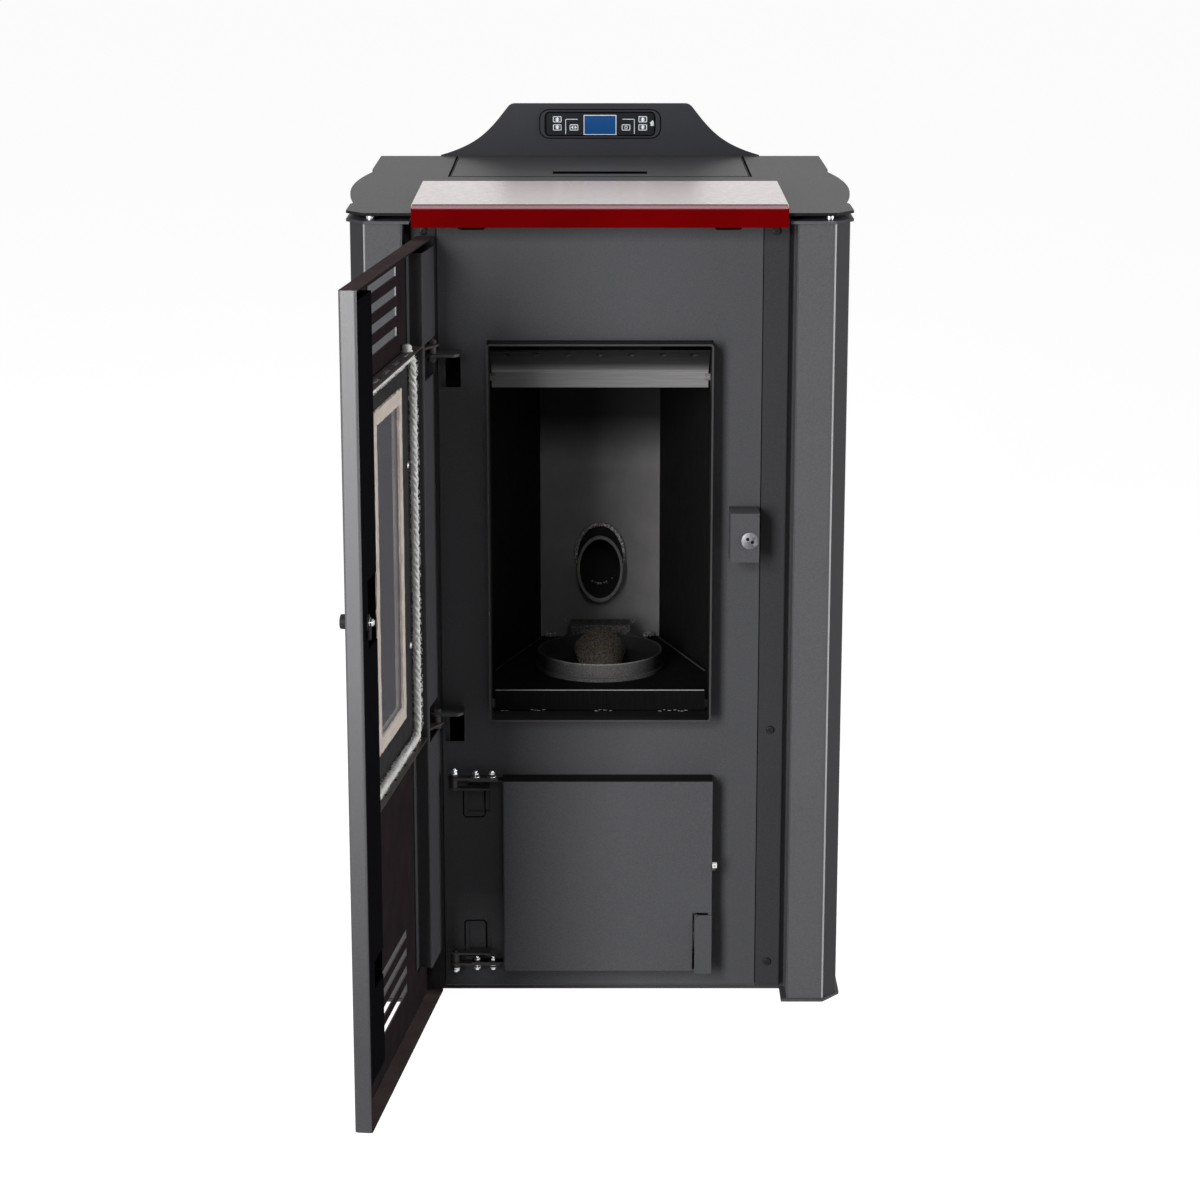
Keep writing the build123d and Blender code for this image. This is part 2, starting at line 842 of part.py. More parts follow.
splayed_walls = [
    (-box_half, behind(front_sheet)),
    (-box_half, behind(box_straight)),
    (-box_back_half, behind(box_back)),
    (box_back_half, behind(box_back)),
    (box_half, behind(box_straight)),
    (box_half, behind(front_sheet)),
]
tube_axis = Plane(
    origin=(0, behind(mouth_y), mouth_z),
    x_dir=(1, 0, 0),
    z_dir=(0, cos(radians(tube_angle)), sin(radians(tube_angle))),
)
with BuildPart() as firebox_shell:
    with BuildSketch(Plane.XY.offset(sill_height)):
        folded_strip(splayed_walls, thick_sheet, radius=3.0)
    extrude(amount=box_roof + thick_sheet - sill_height)
    # Floor and roof
    for height in (box_floor - thick_sheet, box_roof):
        with BuildSketch(Plane.XY.offset(height)):
            Polygon(*splayed_walls, align=None)
        extrude(amount=thick_sheet)
    # The front of the floor steps down to a sill under the collar.
    with BuildSketch(Plane.YZ):
        rectangle_between(
            behind(front_sheet), box_floor - thick_sheet - 1, behind(sill_back), box_floor + 1
        )
    extrude(amount=box_half, both=True, mode=Mode.SUBTRACT)
    with BuildSketch(Plane.YZ):
        rectangle_between(
            behind(front_sheet), sill_height, behind(sill_back), sill_height + thick_sheet
        )
        rectangle_between(
            behind(sill_back), sill_height, behind(sill_back + thick_sheet), box_floor
        )
    extrude(amount=box_half, both=True)
    # Holes for the burn pot's cup and the drop tube
    with BuildSketch(Plane.XY.offset(box_floor)):
        with Locations((0, behind(pot_y))):
            Circle(cup_radius + 2 * run_gap)
    extrude(amount=-thick_sheet, mode=Mode.SUBTRACT)
    with BuildSketch(tube_axis.offset(-tube_diameter)):
        Circle(tube_diameter / 2 + weld_gap)
    extrude(amount=2 * tube_diameter, mode=Mode.SUBTRACT)
    # Smoke outlet in the roof, behind the deflector
    with BuildSketch(Plane.XY.offset(box_roof)):
        with Locations((0, behind(smoke_slot_y))):
            SlotOverall(smoke_slot_length, smoke_slot_width)
    extrude(amount=thick_sheet, mode=Mode.SUBTRACT)
write_piece(firebox_shell, "firebox_shell")

with BuildPart() as deflector:
    with BuildSketch(Plane.YZ):
        folded_strip(
            [
                (behind(deflector_front), deflector_high),
                (behind(deflector_back), deflector_low),
                (behind(deflector_back), deflector_edge),
            ],
            front_sheet,
        )
    extrude(amount=deflector_half, both=True)
    with BuildSketch(Plane.XY.offset(deflector_edge)):
        for x in deflector_hole_x:
            hole_y = behind(deflector_front + deflector_hole_set)
            with Locations((-x, hole_y), (x, hole_y)):
                Circle(deflector_hole / 2)
    extrude(amount=60, mode=Mode.SUBTRACT)
    # It hangs on a stud at each end.
    for side in (-1, 1):
        with BuildSketch(Plane.YZ.offset(side * (deflector_half - stud_overlap))):
            with Locations((behind(deflector_back + front_sheet / 2), deflector_low - 6)):
                Circle(stud_diameter / 2)
        extrude(amount=side * (box_half - weld_gap - deflector_half + stud_overlap))
write_piece(deflector, "deflector")

with BuildPart() as ash_lip:
    lip_floor = collar_bottom + front_sheet
    with BuildSketch(Plane.YZ):
        folded_strip(
            [
                (behind(lip_setback), lip_floor + lip_height),
                (behind(lip_setback), lip_floor),
                (behind(lip_setback + lip_foot), lip_floor),
            ],
            front_sheet,
        )
    extrude(amount=lip_half, both=True)
write_piece(ash_lip, "ash_lip")

with BuildPart() as burn_pot:
    cup_bottom = box_floor - cup_depth
    with BuildSketch(Plane.YZ):
        with BuildLine():
            Polyline(
                (behind(pot_y), cup_bottom),
                (behind(pot_y) + cup_radius - 6, cup_bottom),
                (behind(pot_y) + cup_radius, cup_bottom + 8),
                (behind(pot_y) + cup_radius, box_floor + run_gap),
                (behind(pot_y) + pot_flange_radius, box_floor + run_gap),
                (behind(pot_y) + pot_flange_radius, box_floor + pot_flange_height),
                (behind(pot_y) + pot_radius, box_floor + pot_flange_height + 1),
                (behind(pot_y) + pot_radius, pot_rim),
                (behind(pot_y) + pot_radius - pot_wall, pot_rim),
                (behind(pot_y) + pot_radius - pot_wall - 2, box_floor + pot_wall),
                (behind(pot_y) + cup_radius - pot_wall, box_floor + run_gap),
                (behind(pot_y) + cup_radius - pot_wall - 4, cup_bottom + pot_wall),
                (behind(pot_y), cup_bottom + pot_wall),
                close=True,
            )
        make_face()
    revolve(axis=Axis((0, behind(pot_y), 0), (0, 0, 1)))
    with BuildSketch(Plane.XY.offset(cup_bottom)):
        with Locations((0, behind(pot_y))):
            for ring, count in ((14, 6), (30, 12)):
                with PolarLocations(ring, count):
                    Circle(air_hole / 2)
    extrude(amount=pot_wall, mode=Mode.SUBTRACT)
write_piece(burn_pot, "burn_pot")

with BuildPart() as air_box:
    air_box_top = box_floor - thick_sheet
    with BuildSketch(Plane.XY.offset(air_box_bottom)):
        with Locations((0, behind(pot_y))):
            Rectangle(2 * air_box_half, air_box_depth)
    extrude(amount=air_box_top - air_box_bottom)
    with BuildSketch(Plane.XY.offset(air_box_bottom + front_sheet)):
        with Locations((0, behind(pot_y))):
            Rectangle(2 * (air_box_half - front_sheet), air_box_depth - 2 * front_sheet)
    extrude(amount=air_box_top - air_box_bottom, mode=Mode.SUBTRACT)
    with BuildSketch(Plane.XZ.offset(-behind(pot_y))):
        with Locations((0, air_pipe_z)):
            Circle(air_pipe_diameter / 2 - 2 * flue_wall)
    extrude(amount=-air_box_depth, mode=Mode.SUBTRACT)
write_piece(air_box, "air_box")

with BuildPart() as igniter_block:
    with BuildSketch(Plane.XY.offset(box_floor)):
        rectangle_between(
            -igniter_half, behind(igniter_front), igniter_half, behind(igniter_back)
        )
        with Locations((0, behind(pot_y))):
            Circle(pot_radius + igniter_clearance, mode=Mode.SUBTRACT)
    extrude(amount=igniter_height)
    top_edges = igniter_block.edges().group_by(Axis.Z)[-1]
    chamfer(top_edges.filter_by(Axis.X), length=igniter_chamfer)
write_piece(igniter_block, "igniter_block")

# ---- Pellet feed -------------------------------------------------------------------------

with BuildPart() as drop_tube:
    tube_length = (tube_top_y - mouth_y) / cos(radians(tube_angle))
    with BuildSketch(tube_axis.offset(-tube_diameter)):
        Circle(tube_diameter / 2)
        Circle(tube_diameter / 2 - tube_wall, mode=Mode.SUBTRACT)
    extrude(amount=tube_length + tube_diameter)
    with BuildSketch(tube_axis.offset(tube_length - tube_wall)):
        Circle(tube_diameter / 2)
    extrude(amount=tube_wall)
    # The mouth leans forward at its lower end, and pellets fall in through the upper wall.
    mouth_normal = (0, -cos(radians(mouth_lean)), sin(radians(mouth_lean)))
    mouth_plane = Plane(origin=(0, behind(mouth_y), mouth_z), x_dir=(1, 0, 0), z_dir=mouth_normal)
    split(bisect_by=mouth_plane, keep=Keep.BOTTOM)
    outlet_floor = mouth_z + (outlet_y - mouth_y) * tan(radians(tube_angle))
    with BuildSketch(Plane.XY.offset(outlet_floor)):
        with Locations((0, behind(outlet_y))):
            Circle(outlet_diameter / 2)
    extrude(amount=auger_z - outlet_floor, mode=Mode.SUBTRACT)
write_piece(drop_tube, "drop_tube")

with BuildPart() as auger_tube:
    with BuildSketch(Plane.XZ.offset(-behind(auger_front))):
        with Locations((0, auger_z)):
            Circle(auger_bore / 2 + auger_wall)
    extrude(amount=-(auger_back - auger_front))
    # Saddle under the hopper's throat, and the neck over the drop tube
    with BuildSketch(Plane.XY.offset(auger_z)):
        rectangle_between(
            -saddle_half, behind(saddle_front), saddle_half, behind(saddle_back)
        )
    extrude(amount=auger_bore / 2 + auger_wall)
    with BuildSketch(Plane.XY.offset(outlet_floor)):
        with Locations((0, behind(outlet_y))):
            Circle(outlet_diameter / 2 + auger_wall)
    extrude(amount=auger_z - outlet_floor)
    with BuildSketch(tube_axis):
        Circle(tube_diameter / 2 + run_gap)
    extrude(amount=2 * tube_length, mode=Mode.SUBTRACT)
    with BuildSketch(Plane.XZ.offset(-behind(auger_front + auger_wall))):
        with Locations((0, auger_z)):
            Circle(auger_bore / 2)
    extrude(amount=-(auger_back - auger_front), mode=Mode.SUBTRACT)
    with BuildSketch(Plane.XY.offset(auger_z)):
        rectangle_between(
            -feed_half, behind(saddle_front + 6), feed_half, behind(saddle_back - 6)
        )
    extrude(amount=auger_bore, mode=Mode.SUBTRACT)
    with BuildSketch(Plane.XY.offset(auger_z)):
        with Locations((0, behind(outlet_y))):
            Circle(outlet_diameter / 2)
    extrude(amount=-auger_bore - tube_diameter, mode=Mode.SUBTRACT)
    # Front bearing
    with BuildSketch(Plane.XZ.offset(-behind(auger_front - auger_wall))):
        with Locations((0, auger_z)):
            Circle(shaft_diameter)
    extrude(amount=-2 * auger_wall)
    with BuildSketch(Plane.XZ.offset(-behind(auger_front - 2 * auger_wall))):
        with Locations((0, auger_z)):
            Circle(shaft_diameter / 2 + pivot_gap)
    extrude(amount=-4 * auger_wall, mode=Mode.SUBTRACT)
write_piece(auger_tube, "auger_tube")

with BuildPart() as auger_screw:
    flight_start = auger_front + auger_wall + 3
    flight_length = auger_back - flight_start - 6
    flight_radius = (screw_diameter + screw_core) / 4
    with BuildLine() as flight_path:
        Helix(
            pitch=screw_pitch,
            height=flight_length,
            radius=flight_radius,
            center=(0, behind(flight_start), auger_z),
            direction=(0, 1, 0),
        )
    start = flight_path.line @ 0
    outward = (start - Vector(0, behind(flight_start), auger_z)).normalized()
    with BuildSketch(Plane(origin=start, x_dir=outward, z_dir=flight_path.line % 0)):
        Rectangle(screw_diameter / 2 - screw_core / 2 + 1, flight_thickness)
    sweep(is_frenet=True)
    with BuildSketch(Plane.XZ.offset(-behind(flight_start - 2))):
        with Locations((0, auger_z)):
            Circle(screw_core / 2)
    extrude(amount=-(flight_length + 4))
    with BuildSketch(Plane.XZ.offset(-behind(auger_front - 2 * auger_wall))):
        with Locations((0, auger_z)):
            Circle(shaft_diameter / 2)
    extrude(amount=-(auger_back - auger_front + 2 * auger_wall + gearbox_depth - 4))
write_piece(auger_screw, "auger_screw")

with BuildPart() as auger_motor:
    with BuildSketch(Plane.XZ.offset(-behind(auger_back))):
        with Locations((0, auger_z)):
            RectangleRounded(gearbox_size, gearbox_size, 6)
    extrude(amount=-gearbox_depth)
    with BuildSketch(Plane.XZ.offset(-behind(auger_back + gearbox_depth))):
        with Locations((0, auger_z)):
            Circle(motor_diameter / 2)
    extrude(amount=-motor_depth)
    fillet(auger_motor.edges().group_by(Axis.Y)[-1], radius=2)
    with BuildSketch(Plane.XZ.offset(-behind(auger_back))):
        with Locations((0, auger_z)):
            Circle(shaft_diameter / 2 + pivot_gap)
    extrude(amount=-(gearbox_depth - 2), mode=Mode.SUBTRACT)
write_piece(auger_motor, "auger_motor")

# ---- Hopper ------------------------------------------------------------------------------

throat_z = auger_z + auger_bore / 2 + auger_wall
hopper_middle = (hopper_front + hopper_back) / 2
throat_middle = (saddle_front + saddle_back) / 2
lid_axis_z = body_height - lid_axis_drop
with BuildPart() as hopper_bin:
    for wall, mode in ((0, Mode.ADD), (sheet, Mode.SUBTRACT)):
        with BuildSketch(Plane.XY.offset(throat_z)):
            with Locations((0, behind(throat_middle))):
                Rectangle(
                    2 * (feed_half + 4 - wall), saddle_back - saddle_front - 4 - 2 * wall
                )
        with BuildSketch(Plane.XY.offset(hopper_knee)):
            with Locations((0, behind(hopper_middle))):
                Rectangle(2 * (hopper_half - wall), hopper_back - hopper_front - 2 * wall)
        loft(mode=mode)
        with BuildSketch(Plane.XY.offset(hopper_knee)):
            with Locations((0, behind(hopper_middle))):
                Rectangle(2 * (hopper_half - wall), hopper_back - hopper_front - 2 * wall)
        extrude(amount=top_under - hopper_knee, mode=mode)
        if mode == Mode.ADD:
            with BuildSketch(Plane.XY.offset(top_under - sheet)):
                with Locations((0, behind(hopper_middle))):
                    Rectangle(
                        2 * (lid_half + 3 * lid_gap + 12), hopper_back - hopper_front + 2 * bin_flange
                    )
            extrude(amount=sheet)
    # Ears that carry the lid's rod
    for side in (-1, 1):
        with BuildSketch(Plane.YZ.offset(side * ear_x)):
            with Locations((behind(lid_axis_y), lid_axis_z)):
                Circle(lid_rod / 2 + 1.4)
            rectangle_between(
                behind(hopper_back), lid_axis_z - 3, behind(lid_axis_y), lid_axis_z + lid_rod / 2
            )
            with Locations((behind(lid_axis_y), lid_axis_z)):
                Circle(lid_rod / 2 + pivot_gap, mode=Mode.SUBTRACT)
        extrude(amount=side * front_sheet)
write_piece(hopper_bin, "hopper_bin")

with BuildPart() as hopper_lid:
    with BuildSketch(Plane.XY.offset(top_under + run_gap)):
        rectangle_between(-lid_half, behind(lid_front), lid_half, behind(lid_back))
        with Locations((0, behind(lid_slot_y))):
            SlotOverall(lid_slot_length, lid_slot_width, mode=Mode.SUBTRACT)
    extrude(amount=thick_sheet - run_gap)
    for side in (-1, 1):
        with BuildSketch(Plane.YZ.offset(side * lug_x)):
            rectangle_between(
                behind(lid_axis_y) - lid_rod,
                lid_axis_z,
                behind(lid_axis_y) + lid_rod,
                top_under + run_gap,
            )
            with Locations((behind(lid_axis_y), lid_axis_z)):
                Circle(lid_rod)
        extrude(amount=thick_sheet / 2, both=True)
    with BuildSketch(Plane.YZ):
        with Locations((behind(lid_axis_y), lid_axis_z)):
            Circle(lid_rod / 2)
    extrude(amount=ear_x + 2 * front_sheet, both=True)
write_piece(hopper_lid, "hopper_lid")

# ---- Latch keeper ------------------------------------------------------------------------

with BuildPart() as latch_keeper:
    with BuildSketch(Plane.XY.offset(keeper_bottom)):
        folded_strip(
            [
                (keeper_left, face_y - weld_gap / 2),
                (keeper_left, behind(-keeper_ahead)),
                (keeper_right, behind(-keeper_ahead)),
                (keeper_right, behind(-keeper_ahead + keeper_return)),
            ],
            front_sheet,
        )
    extrude(amount=keeper_top - keeper_bottom)
    with BuildSketch(Plane.XY.offset(keeper_top - front_sheet)):
        rectangle_between(
            keeper_left + 1, behind(-keeper_ahead + 1), keeper_right, face_y - weld_gap / 2
        )
    extrude(amount=front_sheet)
    with BuildSketch(Plane.XZ.offset(-behind(-keeper_ahead))):
        with Locations((keeper_disc_x - 1, keeper_disc_z)):
            Circle(keeper_disc_radius)
    extrude(amount=keeper_proud)
write_piece(latch_keeper, "latch_keeper")

# ---- Ash compartment ---------------------------------------------------------------------

frame_left = ash_left + ash_frame_half_gap
frame_right = ash_right - ash_frame_half_gap
frame_bottom = ash_bottom + ash_frame_half_gap
frame_top = ash_top - ash_frame_half_gap
with BuildPart() as ash_box:
    with BuildSketch(Plane.XZ.offset(-behind(front_sheet))):
        rectangle_between(
            frame_left - sheet, frame_bottom - sheet, frame_right + sheet, frame_top + sheet
        )
    extrude(amount=-(ash_box_back - front_sheet))
    with BuildSketch(Plane.XZ.offset(-behind(front_sheet))):
        rectangle_between(frame_left, frame_bottom, frame_right, frame_top)
    extrude(amount=-(ash_box_back - front_sheet - sheet), mode=Mode.SUBTRACT)
write_piece(ash_box, "ash_box")

with BuildPart() as ash_pan:
    with BuildSketch(Plane.XY.offset(frame_bottom)):
        rectangle_between(
            frame_left + pan_clearance,
            behind(pan_front),
            frame_right - pan_clearance,
            behind(ash_box_back - 2 * pan_clearance),
        )
    extrude(amount=ash_pan_height)
    with BuildSketch(Plane.XY.offset(frame_bottom + sheet)):
        rectangle_between(
            frame_left + pan_clearance + sheet,
            behind(pan_front + sheet),
            frame_right - pan_clearance - sheet,
            behind(ash_box_back - 2 * pan_clearance - sheet),
        )
    extrude(amount=ash_pan_height, mode=Mode.SUBTRACT)
    with BuildSketch(Plane.XZ.offset(-behind(pan_front))):
        handle_z = frame_bottom + ash_pan_height - pan_handle_drop
        with Locations(((frame_left + frame_right) / 2, handle_z)):
            SlotOverall(pan_handle_width, pan_handle_height)
            SlotOverall(
                pan_handle_width - 2 * pan_handle_bar,
                pan_handle_height - 2 * pan_handle_bar,
                mode=Mode.SUBTRACT,
            )
    extrude(amount=pan_handle_depth)
write_piece(ash_pan, "ash_pan")

# ---- Fans, pipes and power inlet ---------------------------------------------------------


def scroll(y, z, radius, duct_bottom, duct_top, duct_end):
    """Side view of a fan housing: a drum with a duct that leaves it towards the rear."""
    with Locations((behind(y), z)):
        Circle(radius)
    rectangle_between(behind(y), duct_bottom, behind(duct_end), duct_top)


duct_bottom = fan_z + fan_radius - fan_duct
duct_top = fan_z + fan_radius
with BuildPart() as exhaust_housing:
    with BuildSketch(Plane.YZ.offset(fan_left)):
        scroll(fan_y, fan_z, fan_radius, duct_bottom, duct_top, fan_outlet_y)
    extrude(amount=fan_right - fan_left)
    for x in (fan_left, fan_right - front_sheet):
        with BuildSketch(Plane.YZ.offset(x)):
            rectangle_between(
                behind(fan_y - fan_foot), thick_sheet, behind(fan_y + fan_foot), fan_z
            )
        extrude(amount=front_sheet)
    with BuildSketch(Plane.YZ.offset(fan_left + sheet)):
        scroll(
            fan_y,
            fan_z,
            fan_radius - sheet,
            duct_bottom + sheet,
            duct_top - sheet,
            fan_outlet_y - sheet,
        )
    extrude(amount=fan_right - fan_left - 2 * sheet, mode=Mode.SUBTRACT)
    with BuildSketch(Plane.YZ.offset(fan_left)):
        with Locations((behind(fan_y), fan_z)):
            Circle(fan_radius / 2)
    extrude(amount=sheet, mode=Mode.SUBTRACT)
    with BuildSketch(Plane.XZ.offset(-behind(fan_outlet_y))):
        with Locations(((fan_left + fan_right) / 2, flue_z)):
            Circle(fan_outlet_diameter / 2)
    extrude(amount=2 * sheet, mode=Mode.SUBTRACT)
    # Motor
    with BuildSketch(Plane.YZ.offset(fan_right)):
        with Locations((behind(fan_y), fan_z)):
            Circle(motor_diameter / 2)
    extrude(amount=fan_motor_depth)
    with BuildSketch(Plane.YZ.offset(fan_right - sheet)):
        with Locations((behind(fan_y), fan_z)):
            Circle(shaft_diameter / 2 + pivot_gap)
    extrude(amount=sheet + fan_motor_depth / 2, mode=Mode.SUBTRACT)
write_piece(exhaust_housing, "exhaust_housing")

with BuildPart() as exhaust_impeller:
    wheel_left = fan_left + sheet + 5
    wheel_right = fan_right - sheet - 5
    with BuildSketch(Plane.YZ.offset(wheel_right - front_sheet)):
        with Locations((behind(fan_y), fan_z)):
            Circle(impeller_radius)
    extrude(amount=front_sheet)
    with BuildSketch(Plane.YZ.offset(wheel_left)):
        with Locations((behind(fan_y), fan_z)):
            with PolarLocations(impeller_radius - impeller_blade / 2 - 2, impeller_blades):
                Rectangle(impeller_blade, sheet)
    extrude(amount=wheel_right - wheel_left)
    with BuildSketch(Plane.YZ.offset(wheel_right - 14)):
        with Locations((behind(fan_y), fan_z)):
            Circle(shaft_diameter)
    extrude(amount=14)
    with BuildSketch(Plane.YZ.offset(wheel_right - 14)):
        with Locations((behind(fan_y), fan_z)):
            Circle(shaft_diameter / 2)
    extrude(amount=14 + 5 + sheet + fan_motor_depth / 2 - 1)
write_piece(exhaust_impeller, "exhaust_impeller")

with BuildPart() as flue_spigot:
    with BuildSketch(Plane.XZ.offset(-behind(fan_outlet_y))):
        with Locations(((fan_left + fan_right) / 2, flue_z)):
            Circle(flue_diameter / 2 - flue_wall)
            Circle(flue_diameter / 2 - 2 * flue_wall, mode=Mode.SUBTRACT)
    extrude(amount=-(pipe_end - fan_outlet_y))
    with BuildSketch(Plane.XZ.offset(-behind(rear_face))):
        with Locations(((fan_left + fan_right) / 2, flue_z)):
            Circle(flue_diameter / 2)
            Circle(flue_diameter / 2 - flue_wall, mode=Mode.SUBTRACT)
    extrude(amount=-(pipe_end - rear_face))
write_piece(flue_spigot, "flue_spigot")

with BuildPart() as air_inlet_tube:
    with BuildSketch(Plane.XZ.offset(-behind(pot_y + air_box_depth / 2))):
        with Locations((0, air_pipe_z)):
            Circle(air_pipe_diameter / 2 - flue_wall)
            Circle(air_pipe_diameter / 2 - 2 * flue_wall, mode=Mode.SUBTRACT)
    extrude(amount=-(pipe_end - pot_y - air_box_depth / 2))
    with BuildSketch(Plane.XZ.offset(-behind(rear_face))):
        with Locations((0, air_pipe_z)):
            Circle(air_pipe_diameter / 2)
            Circle(air_pipe_diameter / 2 - flue_wall, mode=Mode.SUBTRACT)
    extrude(amount=-(pipe_end - rear_face))
write_piece(air_inlet_tube, "air_inlet_tube")

drum_left = drum_x - drum_length / 2
drum_right = drum_x + drum_length / 2
drum_case = drum_radius + drum_clearance
with BuildPart() as blower_housing:
    for wall, mode in ((sheet, Mode.ADD), (0, Mode.SUBTRACT)):
        with BuildSketch(Plane.YZ.offset(drum_left - 5 - wall)):
            with Locations((behind(drum_y), drum_z)):
                Circle(drum_case + wall)
            rectangle_between(
                behind(drum_y - drum_case) - wall,
                drum_z,
                behind(drum_y - drum_case + drum_outlet) + wall,
                drum_outlet_z,
            )
        extrude(amount=drum_length + 10 + 2 * wall, mode=mode)
        if mode == Mode.ADD:
            for x in (drum_left - 5, drum_right + 5 - front_sheet):
                with BuildSketch(Plane.YZ.offset(x)):
                    rectangle_between(
                        behind(drum_y - 20), thick_sheet, behind(drum_y + 20), drum_z
                    )
                extrude(amount=front_sheet)
    with BuildSketch(Plane.YZ.offset(drum_left - 5 - sheet)):
        with Locations((behind(drum_y), drum_z)):
            Circle(drum_radius - 10)
            Circle(shaft_diameter, mode=Mode.SUBTRACT)
            Rectangle(sheet * 4, drum_radius * 2, mode=Mode.SUBTRACT)
    extrude(amount=sheet, mode=Mode.SUBTRACT)
    with BuildSketch(Plane.YZ.offset(drum_right + 5)):
        with Locations((behind(drum_y), drum_z)):
            Circle(motor_diameter / 2)
    extrude(amount=fan_motor_depth)
    with BuildSketch(Plane.YZ.offset(drum_left - 5 - sheet)):
        with Locations((behind(drum_y), drum_z)):
            Circle(shaft_diameter / 2 + pivot_gap)
    extrude(
        amount=drum_length + 10 + 2 * sheet + fan_motor_depth / 2, mode=Mode.SUBTRACT
    )
write_piece(blower_housing, "blower_housing")

with BuildPart() as blower_wheel:
    for x in (drum_left, drum_right - sheet):
        with BuildSketch(Plane.YZ.offset(x)):
            with Locations((behind(drum_y), drum_z)):
                Circle(drum_radius)
        extrude(amount=sheet)
    with BuildSketch(Plane.YZ.offset(drum_left)):
        with Locations((behind(drum_y), drum_z)):
            with PolarLocations(drum_radius - 4, drum_blades):
                Rectangle(7, 1.2)
    extrude(amount=drum_length)
    with BuildSketch(Plane.YZ.offset(drum_left - 5 - sheet)):
        with Locations((behind(drum_y), drum_z)):
            Circle(shaft_diameter / 2)
    extrude(amount=drum_length + 10 + 2 * sheet + fan_motor_depth / 2 - 1)
write_piece(blower_wheel, "blower_wheel")

with BuildPart() as power_inlet:
    with BuildSketch(Plane.XZ.offset(-behind(rear_face))):
        with Locations((inlet_x, inlet_z)):
            RectangleRounded(inlet_width + 2 * inlet_rim, inlet_height + 2 * inlet_rim, 3)
    extrude(amount=-front_sheet)
    with BuildSketch(Plane.XZ.offset(-behind(rear_face))):
        with Locations((inlet_x, inlet_z)):
            Rectangle(inlet_width - 2 * weld_gap, inlet_height - 2 * weld_gap)
    extrude(amount=inlet_depth)
    with BuildSketch(Plane.XZ.offset(-behind(rear_face + front_sheet))):
        with Locations((inlet_x, inlet_z)):
            Rectangle(inlet_width - 2 * inlet_wall, inlet_height - 2 * inlet_wall)
    extrude(amount=inlet_depth - 4, mode=Mode.SUBTRACT)
    with BuildSketch(Plane.XZ.offset(-behind(rear_face))):
        for x, z in inlet_blades:
            with Locations((inlet_x + x, inlet_z + z)):
                Rectangle(inlet_wall, 2 * inlet_wall)
    extrude(amount=inlet_depth - 4)
write_piece(power_inlet, "power_inlet")

# ---- Main door ---------------------------------------------------------------------------

skin_depth = door_thickness - sheet


def louvre_places(first):
    """Heights of one group of louvres, from the highest down."""
    return [first - i * louvre_pitch for i in range(louvre_count)]


with BuildPart() as door_pan:
    with BuildSketch(door_face(0)):
        rectangle_between(door_left, door_bottom, door_right, door_top)
    extrude(amount=door_thickness)
    fillet(door_pan.edges().filter_by(Axis.Z), radius=door_corner)
    with BuildSketch(door_face(0)):
        rectangle_between(
            door_left + sheet, door_bottom + sheet, door_right - sheet, door_top - sheet
        )
    extrude(amount=skin_depth, mode=Mode.SUBTRACT)
    with BuildSketch(door_face(skin_depth)):
        for height in louvre_places(upper_louvre_z) + louvre_places(lower_louvre_z):
            rectangle_between(
                -louvre_half, height - louvre_height / 2, louvre_half, height + louvre_height / 2
            )
        # The glass fills its opening; the other hole is the latch's.
        with Locations((0, (glass_bottom + glass_top) / 2)):
            RectangleRounded(
                2 * (glass_half + run_gap),
                glass_top - glass_bottom + 2 * run_gap,
                glass_corner + run_gap,
            )
        with Locations((latch_s, latch_z)):
            Circle(latch_shaft / 2 + pivot_gap)
    extrude(amount=sheet, mode=Mode.SUBTRACT)
write_piece(door_pan, "door_pan")

for side, name in ((-1, "left"), (1, "right")):
    lip_end = door_right - sheet - weld_gap if side > 0 else -door_left - sheet - weld_gap
    with BuildPart() as stiffener:
        with BuildSketch(door_plan(stiffener_bottom)):
            folded_strip(
                [
                    (side * (stiffener_s - stiffener_foot), -skin_depth),
                    (side * (stiffener_s + sheet), -skin_depth),
                    (side * (stiffener_s + sheet), -sheet),
                    (side * lip_end, -sheet),
                ],
                side * sheet,
            )
        extrude(amount=stiffener_top - stiffener_bottom)
        hole_side = keeper_right + keeper_clear_side
        hole_bottom = keeper_bottom - keeper_clear_below
        hole_top = keeper_top + keeper_clear_above
        with BuildSketch(door_face(0)):
            if side < 0:
                for tab_z in (upper_tab_z, lower_tab_z):
                    rectangle_between(
                        door_left - 1,
                        tab_z - hinge_relief,
                        -stiffener_s - 4 * sheet,
                        tab_z + hinge_relief,
                    )
            else:
                rectangle_between(stiffener_s - 1, hole_bottom, lip_end + 1, hole_top)
                rectangle_between(stiffener_s - 1, notch_bottom, hole_side, notch_top)
        extrude(amount=sheet, mode=Mode.SUBTRACT)
        # The latch turns in a plate of its own, beside the keeper's opening.
        if side > 0:
            with BuildSketch(door_face(0)):
                rectangle_between(
                    hole_side, hole_bottom + weld_gap, lip_end, hole_top - weld_gap
                )
                with Locations((latch_s, latch_z)):
                    Circle(latch_shaft / 2 + pivot_gap, mode=Mode.SUBTRACT)
            extrude(amount=sheet)
    write_piece(stiffener, f"door_stiffener_{name}")

for height, name in ((upper_shelf_z, "upper"), (lower_shelf_z, "lower")):
    with BuildPart() as shelf:
        with BuildSketch(door_plan(height)):
            rectangle_between(-shelf_half, sheet - skin_depth, shelf_half, -shelf_depth)
            with Locations((0, (sheet - skin_depth - shelf_depth) / 2)):
                with GridLocations(shelf_hole_pitch, 1, 4, 1):
                    if name == "upper":
                        SlotOverall(shelf_slot_length, shelf_slot_width, mode=Mode.SUBTRACT)
                    else:
                        Circle(shelf_hole / 2, mode=Mode.SUBTRACT)
        extrude(amount=-sheet)
    write_piece(shelf, f"door_shelf_{name}")

